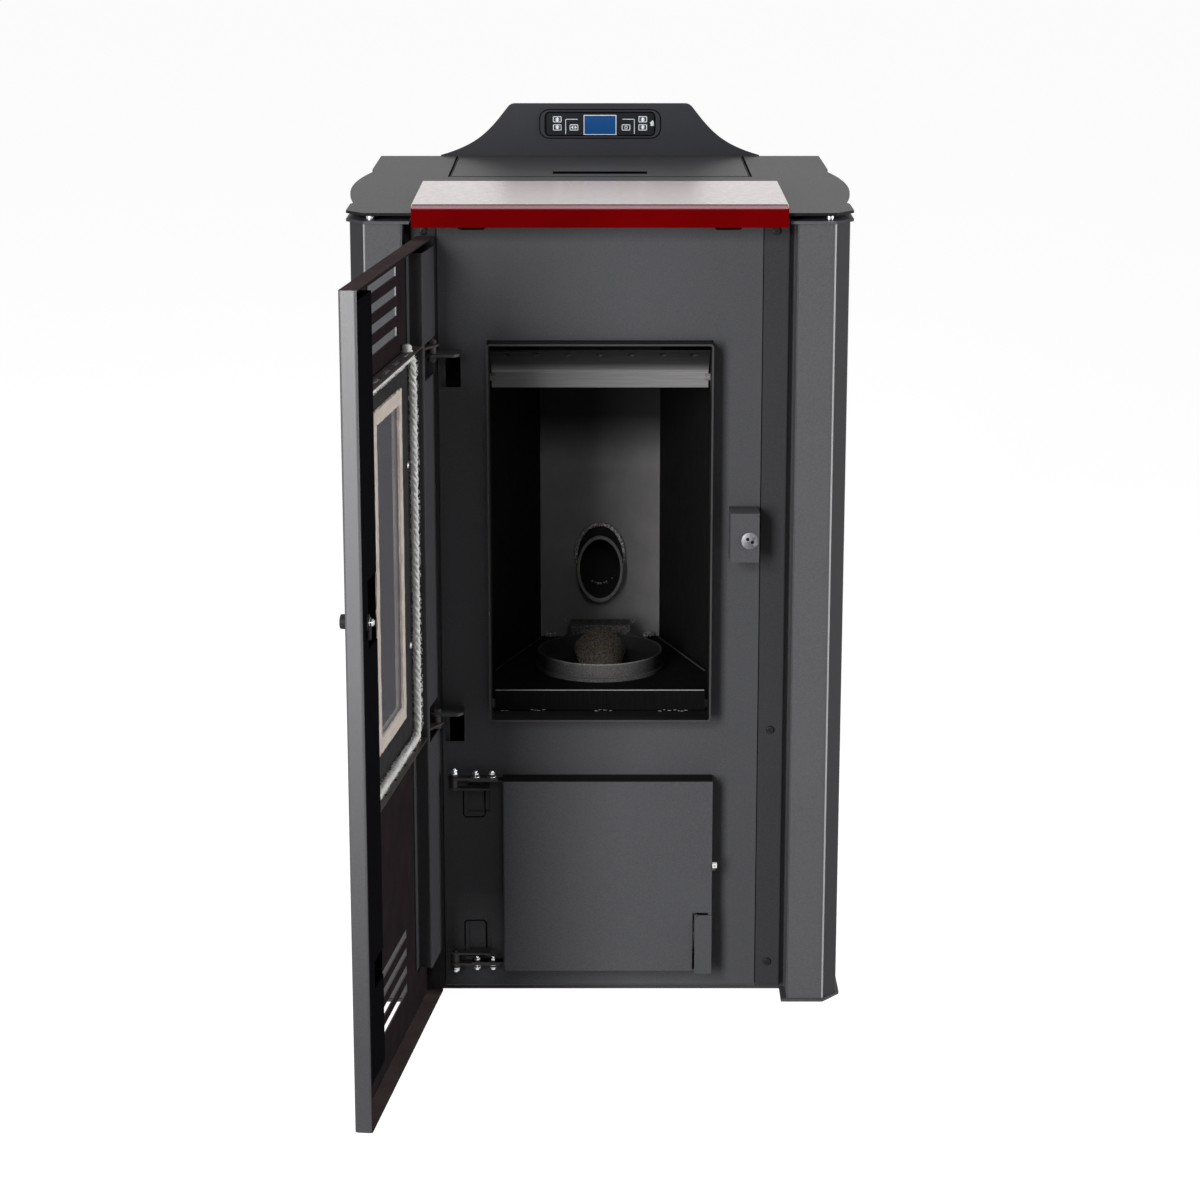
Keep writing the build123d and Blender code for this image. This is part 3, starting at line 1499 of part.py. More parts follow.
frame_half = stiffener_s - stiffener_foot - weld_gap
with BuildPart() as window_frame:
    with BuildSketch(door_face(frame_depth)):
        rectangle_between(
            -frame_half,
            lower_shelf_z + weld_gap,
            frame_half,
            upper_shelf_z - sheet - weld_gap,
        )
        rectangle_between(
            -sight_half - tape_width - run_gap,
            sight_bottom - tape_width - run_gap,
            sight_half + tape_width + run_gap,
            sight_top + tape_width + run_gap,
            mode=Mode.SUBTRACT,
        )
    extrude(amount=sheet)
write_piece(window_frame, "window_frame")

with BuildPart() as door_glass:
    with BuildSketch(door_face(skin_depth + weld_gap)):
        with Locations((0, (glass_bottom + glass_top) / 2)):
            RectangleRounded(2 * glass_half, glass_top - glass_bottom, glass_corner)
    extrude(amount=glass_thickness)
write_piece(door_glass, "door_glass")

with BuildPart() as glass_gasket:
    with BuildSketch(door_face(skin_depth - tape_thickness)):
        rectangle_between(
            -sight_half - tape_width,
            sight_bottom - tape_width,
            sight_half + tape_width,
            sight_top + tape_width,
        )
        rectangle_between(
            -sight_half, sight_bottom, sight_half, sight_top, mode=Mode.SUBTRACT
        )
    extrude(amount=tape_thickness)
write_piece(glass_gasket, "glass_gasket")

with BuildPart() as rope_gasket:
    with BuildLine(door_face(frame_depth - rope_diameter / 2 - weld_gap)) as rope_path:
        FilletPolyline(
            (-rope_half, rope_bottom),
            (rope_half, rope_bottom),
            (rope_half, rope_top),
            (-rope_half, rope_top),
            radius=rope_corner,
            close=True,
        )
    with BuildSketch(Plane(rope_path.line @ 0, z_dir=rope_path.line % 0)):
        Circle(rope_diameter / 2)
    sweep()
write_piece(rope_gasket, "rope_gasket")

# ---- Main hinge --------------------------------------------------------------------------

pin_y = behind(-pin_ahead)
arm_y = behind(-ash_axis_ahead)
lower_bush_z = lower_tab_z - run_gap - bush_length
upper_bush_z = upper_tab_z + tab_thickness + run_gap
with BuildPart() as hinge_bolts:
    # The upper bolt is held under its tab and the lower bolt's head rests on its tab.
    upper_end = upper_bush_z + bush_length + arm_thickness + run_gap
    with BuildSketch(Plane.XY.offset(upper_tab_z - 6)):
        with Locations((pin_x, pin_y)):
            Circle(pin_diameter / 2 - weld_gap)
    extrude(amount=upper_end + 5 - upper_tab_z + 6)
    for low, high in ((upper_tab_z - 5, upper_tab_z), (upper_end, upper_end + 4)):
        with BuildSketch(Plane.XY.offset(low)):
            with Locations((pin_x, pin_y)):
                RegularPolygon(bush_diameter / 2, 6)
        extrude(amount=high - low)
    lower_end = lower_bush_z - arm_thickness - run_gap
    with BuildSketch(Plane.XY.offset(lower_end - 5)):
        with Locations((pin_x, pin_y)):
            Circle(pin_diameter / 2 - weld_gap)
    extrude(amount=lower_tab_z + tab_thickness + 4 - lower_end + 5)
    for low, high in (
        (lower_end - 4, lower_end),
        (lower_tab_z + tab_thickness, lower_tab_z + tab_thickness + 4),
    ):
        with BuildSketch(Plane.XY.offset(low)):
            with Locations((pin_x, pin_y)):
                RegularPolygon(bush_diameter / 2, 6)
        extrude(amount=high - low)
    # Pins and rollers of the ash door
    upper_base = ash_upper_tab_z + front_sheet
    lower_base = ash_lower_tab_z - front_sheet
    for low, high, radius in (
        (ash_upper_tab_z - 2, upper_arm_z + arm_thickness + 4, ash_pin / 2 - weld_gap),
        (upper_base, upper_arm_z - run_gap, ash_roller / 2),
        (upper_arm_z + arm_thickness + run_gap, upper_arm_z + arm_thickness + 4, ash_roller / 2),
        (lower_arm_z - 4, ash_lower_tab_z + 2, ash_pin / 2 - weld_gap),
        (lower_arm_z + arm_thickness + run_gap, lower_base, ash_roller / 2),
        (lower_arm_z - 4, lower_arm_z - run_gap, ash_roller / 2),
    ):
        with BuildSketch(Plane.XY.offset(low)):
            with Locations((ash_axis_x, arm_y)):
                Circle(radius)
        extrude(amount=high - low)
write_piece(hinge_bolts, "hinge_bolts")

with BuildPart() as door_hinge_arms:
    for bush_z, arm_z in (
        (upper_bush_z, upper_bush_z + bush_length),
        (lower_bush_z, lower_bush_z - arm_thickness),
    ):
        with BuildSketch(door_plan(arm_z)):
            with Locations((pin_x, door_inner_ahead - pin_ahead)):
                Circle(eye_radius)
            rectangle_between(
                pin_x - arm_root, -skin_depth, -stiffener_s - sheet, -skin_depth + arm_root
            )
            with BuildLine():
                Polyline(
                    (pin_x - eye_radius + 1, door_inner_ahead - pin_ahead),
                    (pin_x + 4, door_inner_ahead - pin_ahead + eye_radius - 1),
                    (-stiffener_s - sheet, -skin_depth + arm_root),
                    (pin_x - arm_root, -skin_depth),
                    close=True,
                )
            make_face()
            with Locations((pin_x, door_inner_ahead - pin_ahead)):
                Circle(pin_diameter / 2 + pivot_gap, mode=Mode.SUBTRACT)
        extrude(amount=arm_thickness)
        with BuildSketch(door_plan(bush_z)):
            with Locations((pin_x, door_inner_ahead - pin_ahead)):
                Circle(bush_diameter / 2)
                Circle(pin_diameter / 2 + pivot_gap, mode=Mode.SUBTRACT)
        extrude(amount=bush_length)
write_piece(door_hinge_arms, "door_hinge_arms")

# ---- Latch -------------------------------------------------------------------------------

with BuildPart() as door_latch:
    with BuildSketch(door_face(-latch_nose)):
        with Locations((latch_s, latch_z)):
            Circle(latch_shaft / 2)
    extrude(amount=latch_nose + door_thickness + run_gap + knob_height)
    with BuildSketch(door_face(door_thickness + run_gap)):
        with Locations((latch_s, latch_z)):
            Circle(latch_knob / 2)
    extrude(amount=knob_height)
    outward = Axis((0, 0, 0), door_face(0).z_dir)
    fillet(door_latch.faces().sort_by(outward)[-1].edges(), radius=1)
    # Cam lever, pointing down when the latch is undone
    with BuildSketch(door_face(-run_gap)):
        with Locations((latch_s, latch_z)):
            Circle(latch_base / 2)
    extrude(amount=-cam_thickness)
    with BuildSketch(door_face(-run_gap - cam_thickness)):
        with BuildLine():
            Polyline(
                (latch_s - cam_width / 2, latch_z),
                (latch_s + cam_width / 2, latch_z),
                (latch_s + cam_lean + cam_width / 3, latch_z - cam_reach),
                (latch_s + cam_lean - cam_width / 3, latch_z - cam_reach),
                close=True,
            )
        make_face()
    extrude(amount=-cam_thickness)
write_piece(door_latch, "door_latch")

# ---- Ash door ----------------------------------------------------------------------------

ash_depth = ash_ahead - ash_lip_gap
with BuildPart() as ash_door:
    with BuildSketch(Plane.XZ.offset(-behind(-ash_lip_gap))):
        rectangle_between(ash_left, ash_bottom, ash_right, ash_top)
    extrude(amount=ash_depth)
    fillet(ash_door.edges().filter_by(Axis.Z).group_by(Axis.Y)[0], radius=2)
    with BuildSketch(Plane.XZ.offset(-behind(-ash_lip_gap))):
        rectangle_between(
            ash_left + sheet, ash_bottom + sheet, ash_right - sheet, ash_top - sheet
        )
    extrude(amount=ash_depth - sheet, mode=Mode.SUBTRACT)
    # Slit round the finger tongue, which reaches below the panel
    with BuildSketch(Plane.XZ.offset(-behind(-ash_ahead))):
        rectangle_between(
            tongue_left - tongue_slit, ash_bottom - 1, tongue_left, tongue_top + tongue_slit
        )
        rectangle_between(
            tongue_left - tongue_slit, tongue_top, ash_right - 4, tongue_top + tongue_slit
        )
    extrude(amount=-sheet, mode=Mode.SUBTRACT)
    with BuildSketch(Plane.XZ.offset(-behind(-ash_ahead))):
        with BuildLine():
            FilletPolyline(
                (tongue_left, ash_bottom - tongue_drop),
                (tongue_left, tongue_top),
                (ash_right, tongue_top),
                (ash_right, ash_bottom - tongue_drop),
                radius=[0, 8, 0, 0],
                close=True,
            )
        make_face()
    extrude(amount=sheet)
    # Catch on the free side
    with BuildSketch(Plane.XZ.offset(-behind(-ash_ahead + 6))):
        rectangle_between(ash_right, catch_z, ash_right + 3.5, catch_z + 9)
    extrude(amount=4)
    # Ears that the hinge arms are bolted to
    for ear_z in (upper_arm_z - sheet, lower_arm_z + arm_thickness):
        with BuildSketch(Plane.XY.offset(ear_z)):
            rectangle_between(
                ash_bolt_x[0] - 6, arm_y - ash_arm_half, ash_left + sheet, arm_y + ash_arm_half
            )
        extrude(amount=sheet)
write_piece(ash_door, "ash_door")

with BuildPart() as ash_door_arms:
    for arm_z, head_z in (
        (upper_arm_z, upper_arm_z + arm_thickness),
        (lower_arm_z, lower_arm_z - bolt_head),
    ):
        with BuildSketch(Plane.XY.offset(arm_z)):
            rectangle_between(
                ash_axis_x, arm_y - ash_arm_half, ash_bolt_x[1] + 7, arm_y + ash_arm_half
            )
            with Locations((ash_axis_x, arm_y)):
                Circle(ash_arm_half)
                Circle(ash_pin / 2 + pivot_gap, mode=Mode.SUBTRACT)
        extrude(amount=arm_thickness)
        with BuildSketch(Plane.XY.offset(head_z)):
            for x in ash_bolt_x:
                with Locations((x, arm_y)):
                    RegularPolygon(4.6, 6)
        extrude(amount=bolt_head)
write_piece(ash_door_arms, "ash_door_arms")
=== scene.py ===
"""Dressed scene of a pellet stove with its main door open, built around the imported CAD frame.

Every length is in metres, in the frame of the CAD model: the floor is z = 0, the front looks
towards -Y, and the main door rests open.
"""

from __future__ import annotations

import json
import logging
import math
import random
from dataclasses import dataclass, field
from enum import Enum
from typing import Callable, Iterable, Sequence

import bpy
from mathutils import Matrix, Vector

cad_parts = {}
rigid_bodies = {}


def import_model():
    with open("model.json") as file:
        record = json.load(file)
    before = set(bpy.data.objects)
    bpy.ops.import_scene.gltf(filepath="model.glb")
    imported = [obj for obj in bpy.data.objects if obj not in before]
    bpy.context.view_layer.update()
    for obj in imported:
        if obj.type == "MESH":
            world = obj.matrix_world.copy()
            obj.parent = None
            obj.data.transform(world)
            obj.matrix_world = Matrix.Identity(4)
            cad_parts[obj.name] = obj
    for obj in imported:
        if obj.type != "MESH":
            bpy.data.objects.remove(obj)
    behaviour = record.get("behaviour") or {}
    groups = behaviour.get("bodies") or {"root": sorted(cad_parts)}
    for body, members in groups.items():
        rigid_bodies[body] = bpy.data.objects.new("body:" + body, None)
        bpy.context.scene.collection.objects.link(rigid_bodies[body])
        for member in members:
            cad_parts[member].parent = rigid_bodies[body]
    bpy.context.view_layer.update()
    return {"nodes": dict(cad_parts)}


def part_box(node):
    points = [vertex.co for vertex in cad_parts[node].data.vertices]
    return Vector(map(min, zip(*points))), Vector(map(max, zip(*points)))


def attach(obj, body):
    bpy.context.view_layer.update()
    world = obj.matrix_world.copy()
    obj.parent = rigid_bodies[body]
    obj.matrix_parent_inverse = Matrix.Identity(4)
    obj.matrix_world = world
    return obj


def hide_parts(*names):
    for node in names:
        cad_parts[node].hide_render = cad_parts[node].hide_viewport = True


LOG = logging.getLogger("stove")
MM = 0.001
SEED = 7
SIDES = (-1, 1)
FRONT, REAR, UP, DOWN = (0, -1, 0), (0, 1, 0), (0, 0, 1), (0, 0, -1)

Socket = bpy.types.NodeSocket
Piece = bpy.types.Object
Colour = tuple[float, float, float]
Point = tuple[float, float, float]
Outline = list[tuple[float, float]]


class Body(str, Enum):
    """The bodies of the stove that pieces ride on."""

    STOVE = "stove"
    MAIN_DOOR = "main_door"
    LATCH = "latch"
    ASH_DOOR = "ash_door_body"
    LID = "lid"
    POT = "pot"
    KEY_UP_LEFT = "key_body_up_left"
    KEY_DOWN_LEFT = "key_body_down_left"
    KEY_SET = "key_body_set"
    KEY_POWER = "key_body_power"
    KEY_UP_RIGHT = "key_body_up_right"
    KEY_DOWN_RIGHT = "key_body_down_right"


class Slot(str, Enum):
    """The material slots of the record."""

    GRAPHITE = "graphite_paint"
    ENAMEL = "red_enamel"
    FIREBOX = "firebox_black"
    PRIMER = "primer_brown"
    ZINC = "zinc"
    IRON = "cast_iron"
    PLASTIC = "black_plastic"
    KEYS = "key_plastic"
    SCREEN = "blue_screen"
    GLASS = "ceramic_glass"
    ROPE = "white_fibre"
    TAPE = "beige_fibre"
    GALVANISED = "galvanised"
    LATCH = "dark_latch"


def dimmed(colour: Colour, share: float) -> Colour:
    """Returns a colour at a share of its brightness."""
    return tuple(share * part for part in colour)


# ---- Finishes ------------------------------------------------------------------------------


class NodeSheet:
    """The node tree of a material or a world while it is being filled in."""

    def __init__(self, owner: bpy.types.Material | bpy.types.World) -> None:
        """Starts an empty tree.

        Args:
            owner: the material or world.
        """
        owner.use_nodes = True
        self.owner = owner
        self.tree = owner.node_tree
        self.tree.nodes.clear()

    def add(
        self, kind: str, inputs: dict[str | int, object] | None = None, **settings: object
    ) -> bpy.types.Node:
        """Adds a node.

        Args:
            kind: the node's type.
            inputs: a socket, a colour or a plain value for inputs, by name or number.
            **settings: property values of the node.

        Returns:
            The new node.
        """
        node = self.tree.nodes.new(kind)
        for key, value in settings.items():
            setattr(node, key, value)
        for key, value in (inputs or {}).items():
            target = node.inputs[key]
            if isinstance(value, Socket):
                self.tree.links.new(value, target)
            else:
                target.default_value = (*value, 1.0) if target.type == "RGBA" else value
        return node

    @property
    def place(self) -> Socket:
        """The object's own coordinates."""
        return self.add("ShaderNodeTexCoord").outputs["Object"]

    def part(self, vector: Socket, axis: str) -> Socket:
        """Returns the X, Y or Z part of a vector."""
        return self.add("ShaderNodeSeparateXYZ", {"Vector": vector}).outputs[axis]

    def maths(self, operation: str, first: Socket, second: Socket | float) -> Socket:
        """Returns what an operation makes of two values."""
        return self.add("ShaderNodeMath", {0: first, 1: second}, operation=operation).outputs[0]

    def stretched(self, scale: Point) -> Socket:
        """Returns object coordinates scaled along each axis."""
        mapping = self.add("ShaderNodeMapping", {"Vector": self.place, "Scale": scale})
        return mapping.outputs["Vector"]

    def noise(
        self, scale: float, detail: float = 3.0, roughness: float = 0.55,
        where: Socket | None = None,
    ) -> Socket:
        """Adds a noise pattern.

        Args:
            scale: how many features fit in a metre.
            detail: how many finer layers are added.
            roughness: how strong the finer layers are.
            where: the coordinates that it follows, or None for the object's.

        Returns:
            The pattern's value socket.
        """
        settings = {"Scale": scale, "Detail": detail, "Roughness": roughness}
        settings["Vector"] = where or self.place
        return self.add("ShaderNodeTexNoise", settings).outputs["Fac"]

    def ramp(self, value: Socket, stops: Sequence[tuple[float, Colour]]) -> Socket:
        """Turns a value into a colour.

        Args:
            value: the driving socket.
            stops: positions and their colours, in order.

        Returns:
            The colour socket.
        """
        node = self.add("ShaderNodeValToRGB", {"Fac": value})
        elements = node.color_ramp.elements
        while len(elements) < len(stops):
            elements.new(0.5)
        for element, (position, colour) in zip(elements, stops):
            element.position = position
            element.color = (*colour, 1.0)
        return node.outputs["Color"]

    def spread(
        self, value: Socket, low: float, high: float, start: float = 0.35, end: float = 0.65
    ) -> Socket:
        """Maps a pattern's middle range to a range of numbers.

        Args:
            value: the driving socket.
            low: what it gives at the start of its range.
            high: what it gives at the end of its range.
            start: the value taken as the range's start.
            end: the value taken as the range's end.

        Returns:
            The mapped value socket.
        """
        span = {"From Min": start, "From Max": end, "To Min": low, "To Max": high}
        return self.add("ShaderNodeMapRange", {"Value": value, **span}).outputs["Result"]

    def facing(self, axis: str, both_ways: bool = False) -> Socket:
        """Returns 1 where a face looks along an axis of the object and 0 elsewhere.

        Args:
            axis: X, Y or Z, with a minus before it for the other way.
            both_ways: whether faces that look the other way count as well.
        """
        value = self.part(self.add("ShaderNodeTexCoord").outputs["Normal"], axis[-1])
        if both_ways:
            value = self.maths("ABSOLUTE", value, 0.0)
        elif axis[0] == "-":
            value = self.maths("MULTIPLY", value, -1.0)
        return self.spread(value, 0.0, 1.0, 0.5, 0.7)

    def blend(self, share: Socket, first: Socket, second: Socket) -> Socket:
        """Mixes two colours by a value from 0 to 1 and returns the colour socket."""
        node = self.add("ShaderNodeMix", {0: share, 6: first, 7: second}, data_type="RGBA")
        return node.outputs[2]

    def bump(self, height: Socket, depth: float, under: Socket | None = None) -> Socket:
        """Adds relief.

        Args:
            height: the pattern that is raised.
            depth: its height in metres.
            under: the normal socket of the relief below it, if any.

        Returns:
            The normal socket.
        """
        inputs = {"Strength": 1.0, "Distance": depth, "Height": height}
        if under is not None:
            inputs["Normal"] = under
        return self.add("ShaderNodeBump", inputs).outputs["Normal"]

    def surface(self, **sockets: object) -> bpy.types.Material:
        """Ends the tree in a Principled shader.

        Args:
            **sockets: values or sockets for its inputs, with _ for a space in a name.

        Returns:
            The finished material.
        """
        named = {key.replace("_", " "): value for key, value in sockets.items()}
        shader = self.add("ShaderNodeBsdfPrincipled", named)
        self.add("ShaderNodeOutputMaterial", {"Surface": shader.outputs["BSDF"]})
        return self.owner


@dataclass(frozen=True)
class Finish:
    """A finish that pieces can be given; each kind fills in its own material."""

    name: str

    def material(self) -> bpy.types.Material:
        """Returns the finish's material, which is made the first time."""
        title = f"finish_{self.name}"
        found = bpy.data.materials.get(title)
        return found or self.fill(NodeSheet(bpy.data.materials.new(title)))

    def fill(self, sheet: NodeSheet) -> bpy.types.Material:
        """Fills in the material's nodes; each kind has its own."""
        raise NotImplementedError


@dataclass(frozen=True)
class PowderCoat(Finish):
    """Baked powder paint with a fine pebbled texture."""

    shade: Colour = (0.062, 0.063, 0.068)
    fleck: Colour = (0.088, 0.089, 0.095)
    grain: float = 900.0
    relief: float = 0.00006
    rough_low: float = 0.34
    rough_high: float = 0.5
    specular: float = 0.05
    level: Colour | None = None
    shaded_chamfer: Colour | None = None

    def fill(self, sheet: NodeSheet) -> bpy.types.Material:
        """Builds pebbled paint with slow changes of tone."""
        pebbles = sheet.noise(self.grain, 2.0, 0.6)
        clouds = sheet.noise(7.0, 3.0, 0.5)
        paint = sheet.ramp(pebbles, [(0.36, self.shade), (0.66, self.fleck)])
        mean = tuple((a + b) / 2 for a, b in zip(self.shade, self.fleck))
        slow = sheet.ramp(clouds, [(0.3, dimmed(mean, 0.93)), (0.7, dimmed(mean, 1.07))])
        share = sheet.spread(clouds, 0.25, 0.4)
        colour = sheet.blend(share, paint, slow)
        if self.level:
            top = sheet.ramp(pebbles, [(0.36, dimmed(self.level, 0.75)), (0.66, self.level)])
            colour = sheet.blend(sheet.facing("Z"), colour, top)
        # Faces that look sideways and to the front, the columns' chamfers, take a darker colour as
        # painted shade.
        if self.shaded_chamfer:
            sideways = sheet.facing("X", both_ways=True)
            slanted = sheet.maths("MULTIPLY", sideways, sheet.facing("-Y"))
            colour = sheet.blend(slanted, colour, self.shaded_chamfer)
        return sheet.surface(
            Base_Color=colour,
            Roughness=sheet.spread(pebbles, self.rough_low, self.rough_high),
            Specular_IOR_Level=self.specular,
            Normal=sheet.bump(pebbles, self.relief),
        )


@dataclass(frozen=True)
class PrimedPaint(Finish):
    """Powder paint on the outside of the open door's pan, and brown primer on its returns."""

    paint: Colour = (0.078, 0.078, 0.083)
    primer: Colour = (0.12, 0.09, 0.094)
    # The primer inside the pan, darkened as painted shade.
    inside: Colour = (0.026, 0.0195, 0.021)

    def fill(self, sheet: NodeSheet) -> bpy.types.Material:
        """Builds paint that gives way to primer on the inside, darkened there as painted shade,
        and on the level edges.
        """
        pebbles = sheet.noise(900.0, 2.0, 0.6)
        streak = sheet.noise(30.0, 5.0, 0.6)
        # The gloss fades towards the bottom to dim the door edge's highlight there, standing in
        # for light that falls off.
        gloss = sheet.spread(sheet.part(sheet.place, "Z"), 0.03, 0.62, 0.1, 0.5)
        painted = sheet.blend(
            sheet.facing("X"),
            sheet.ramp(pebbles, [(0.36, dimmed(self.paint, 0.8)), (0.66, self.paint)]),
            sheet.ramp(streak, [(0.3, dimmed(self.inside, 0.7)), (0.7, self.inside)]),
        )
        return sheet.surface(
            Base_Color=sheet.blend(
                sheet.facing("Z", both_ways=True),
                painted,
                sheet.ramp(streak, [(0.3, dimmed(self.primer, 0.7)), (0.7, self.primer)]),
            ),
            Roughness=sheet.spread(pebbles, 0.32, 0.46),
            Specular_IOR_Level=sheet.maths("MULTIPLY", sheet.facing("-Y"), gloss),
            Normal=sheet.bump(pebbles, 0.00005),
        )


@dataclass(frozen=True)
class Enamel(Finish):
    """Glossy stoved enamel, polished most on its level top."""

    shade: Colour = (0.112, 0.0003, 0.0006)
    deep: Colour = (0.132, 0.0004, 0.001)

    def fill(self, sheet: NodeSheet) -> bpy.types.Material:
        """Builds enamel with slight orange peel."""
        peel = sheet.noise(140.0, 2.0)
        tone = sheet.noise(11.0, 2.0)
        level = sheet.facing("Z")
        return sheet.surface(
            Base_Color=sheet.ramp(tone, [(0.35, self.shade), (0.65, self.deep)]),
            Roughness=sheet.spread(peel, 0.2, 0.27),
            Specular_IOR_Level=sheet.spread(level, 0.01, 0.9, 0.0, 1.0),
            Coat_Weight=level,
            Coat_Roughness=0.26,
            Coat_IOR=2.3,
            Normal=sheet.bump(peel, 0.000012),
        )


@dataclass(frozen=True)
class BurntSteel(Finish):
    """Heat-proof black paint with soot and faint rolling marks."""

    shade: Colour = (0.012, 0.012, 0.013)
    worn: Colour = (0.03, 0.028, 0.028)
    roughness: float = 0.55
    specular: float = 0.12
    # Paler tone of front-facing faces, a painted light, and the heights above which it fades into
    # painted shadow.
    painted_front_light: Colour | None = None
    painted_shadow_heights: tuple[float, float] | None = None

    def fill(self, sheet: NodeSheet) -> bpy.types.Material:
        """Builds sooty paint; where given, faces that look to the front are paler as painted
        light, which gives way to painted shadow above given heights.
        """
        soot = sheet.noise(18.0, 6.0, 0.62)
        brushed = sheet.noise(60.0, 4.0, 0.6, sheet.stretched((14.0, 14.0, 0.6)))
        speck = sheet.noise(700.0, 2.0)
        colour = sheet.blend(
            sheet.spread(soot, 0.1, 0.8, 0.4, 0.7),
            sheet.ramp(brushed, [(0.35, self.shade), (0.7, self.worn)]),
            sheet.ramp(speck, [(0.3, self.shade), (0.75, self.worn)]),
        )
        # Faces that look to the front are painted paler: painted light.
        if self.painted_front_light:
            front_dim = dimmed(self.painted_front_light, 0.8)
            front_tone = sheet.ramp(soot, [(0.3, front_dim), (0.6, self.painted_front_light)])
            share = sheet.facing("-Y")
            # Above the given heights the pale front fades: a painted shadow.
            if self.painted_shadow_heights:
                height = sheet.part(sheet.place, "Z")
                unshadowed = sheet.spread(height, 1.0, 0.12, *self.painted_shadow_heights)
                share = sheet.maths("MULTIPLY", share, unshadowed)
            colour = sheet.blend(share, colour, front_tone)
        return sheet.surface(
            Base_Color=colour,
            Roughness=sheet.spread(soot, self.roughness - 0.1, self.roughness + 0.15),
            Specular_IOR_Level=self.specular,
            Normal=sheet.bump(speck, 0.00005),
        )


@dataclass(frozen=True)
class GradedSteel(Finish):
    """Brushed steel with a painted highlight along its bend and painted shade darkening its slope
    towards the top.
    """

    low: float = 0.6934
    high: float = 0.7456
    # Height shares and grey tones: the bright stop at 0.37 is the painted highlight of the bend,
    # and the dark stops above are painted shade.
    tones: tuple[tuple[float, float], ...] = (
        (0.0, 0.23), (0.32, 0.25), (0.37, 0.6), (0.43, 0.3), (0.6, 0.065), (0.9, 0.03)
    )

    def fill(self, sheet: NodeSheet) -> bpy.types.Material:
        """Builds the upward grading of painted highlight and shade, and faint lines along the
        sheet.
        """
        height = sheet.spread(sheet.part(sheet.place, "Z"), 0.0, 1.0, self.low, self.high)
        lines = sheet.noise(40.0, 4.0, 0.6, sheet.stretched((0.4, 16.0, 16.0)))
        bright = [(at, (tone, 0.985 * tone, tone)) for at, tone in self.tones]
        dim = [(at, (0.8 * tone, 0.77 * tone, 0.78 * tone)) for at, tone in self.tones]
        return sheet.surface(
            Base_Color=sheet.blend(
                sheet.spread(lines, 0.0, 1.0), sheet.ramp(height, bright), sheet.ramp(height, dim)
            ),
            Roughness=sheet.spread(lines, 0.42, 0.55),
            Specular_IOR_Level=0.1,
            Normal=sheet.bump(lines, 0.00003),
        )


@dataclass(frozen=True)
class Primer(Finish):
    """Thin brown primer over rolled steel."""

    shade: Colour = (0.075, 0.053, 0.055)
    light: Colour = (0.12, 0.092, 0.095)

    def fill(self, sheet: NodeSheet) -> bpy.types.Material:
        """Builds streaky primer."""
        streak = sheet.noise(24.0, 5.0, 0.6, sheet.stretched((1.0, 1.0, 0.25)))
        grit = sheet.noise(800.0, 2.0)
        return sheet.surface(
            Base_Color=sheet.ramp(streak, [(0.35, self.shade), (0.68, self.light)]),
            Roughness=sheet.spread(grit, 0.45, 0.62),
            Specular_IOR_Level=0.4,
            Normal=sheet.bump(grit, 0.00004),
        )


@dataclass(frozen=True)
class PlatedSteel(Finish):
    """Zinc-plated or galvanised steel."""

    shade: Colour = (0.42, 0.43, 0.45)
    light: Colour = (0.68, 0.68, 0.7)
    spangle: float = 160.0
    rough_low: float = 0.2
    rough_high: float = 0.38

    def fill(self, sheet: NodeSheet) -> bpy.types.Material:
        """Builds plating with crystals of slightly different tone."""
        crystals = {"Scale": self.spangle, "Vector": sheet.place}
        cells = sheet.add("ShaderNodeTexVoronoi", crystals)
        dull = sheet.noise(45.0, 4.0, 0.6)
        grey = sheet.add("ShaderNodeSeparateColor", {"Color": cells.outputs["Color"]})
        tone = sheet.ramp(grey.outputs["Red"], [(0.0, self.shade), (1.0, self.light)])
        aged = sheet.ramp(dull, [(0.3, self.shade), (0.7, self.light)])
        return sheet.surface(
            Base_Color=sheet.blend(sheet.spread(dull, 0.3, 0.75), tone, aged),
            Metallic=1.0,
            Roughness=sheet.spread(dull, self.rough_low, self.rough_high),
            Normal=sheet.bump(dull, 0.00002),
        )


@dataclass(frozen=True)
class CastIron(Finish):
    """Rough sand-cast iron with ash and rust."""

    shade: Colour = (0.03, 0.029, 0.029)
    ash: Colour = (0.165, 0.155, 0.148)
    rust: Colour = (0.15, 0.085, 0.05)
    relief: float = 0.0006
    fineness: float = 420.0

    def fill(self, sheet: NodeSheet) -> bpy.types.Material:
        """Builds cast grain, ash in the hollows and rust in patches."""
        grain = sheet.noise(self.fineness, 5.0, 0.65)
        lumps = sheet.noise(90.0, 5.0, 0.6)
        patch = sheet.noise(38.0, 6.0, 0.7)
        iron = sheet.ramp(grain, [(0.42, self.shade), (0.62, self.ash)])
        brown = sheet.ramp(grain, [(0.4, self.shade), (0.6, self.rust)])
        return sheet.surface(
            Base_Color=sheet.blend(sheet.spread(patch, 0.0, 0.85, 0.5, 0.68), iron, brown),
            Roughness=sheet.spread(patch, 0.62, 0.88),
            Specular_IOR_Level=0.35,
            Normal=sheet.bump(grain, self.relief / 4, sheet.bump(lumps, self.relief)),
        )


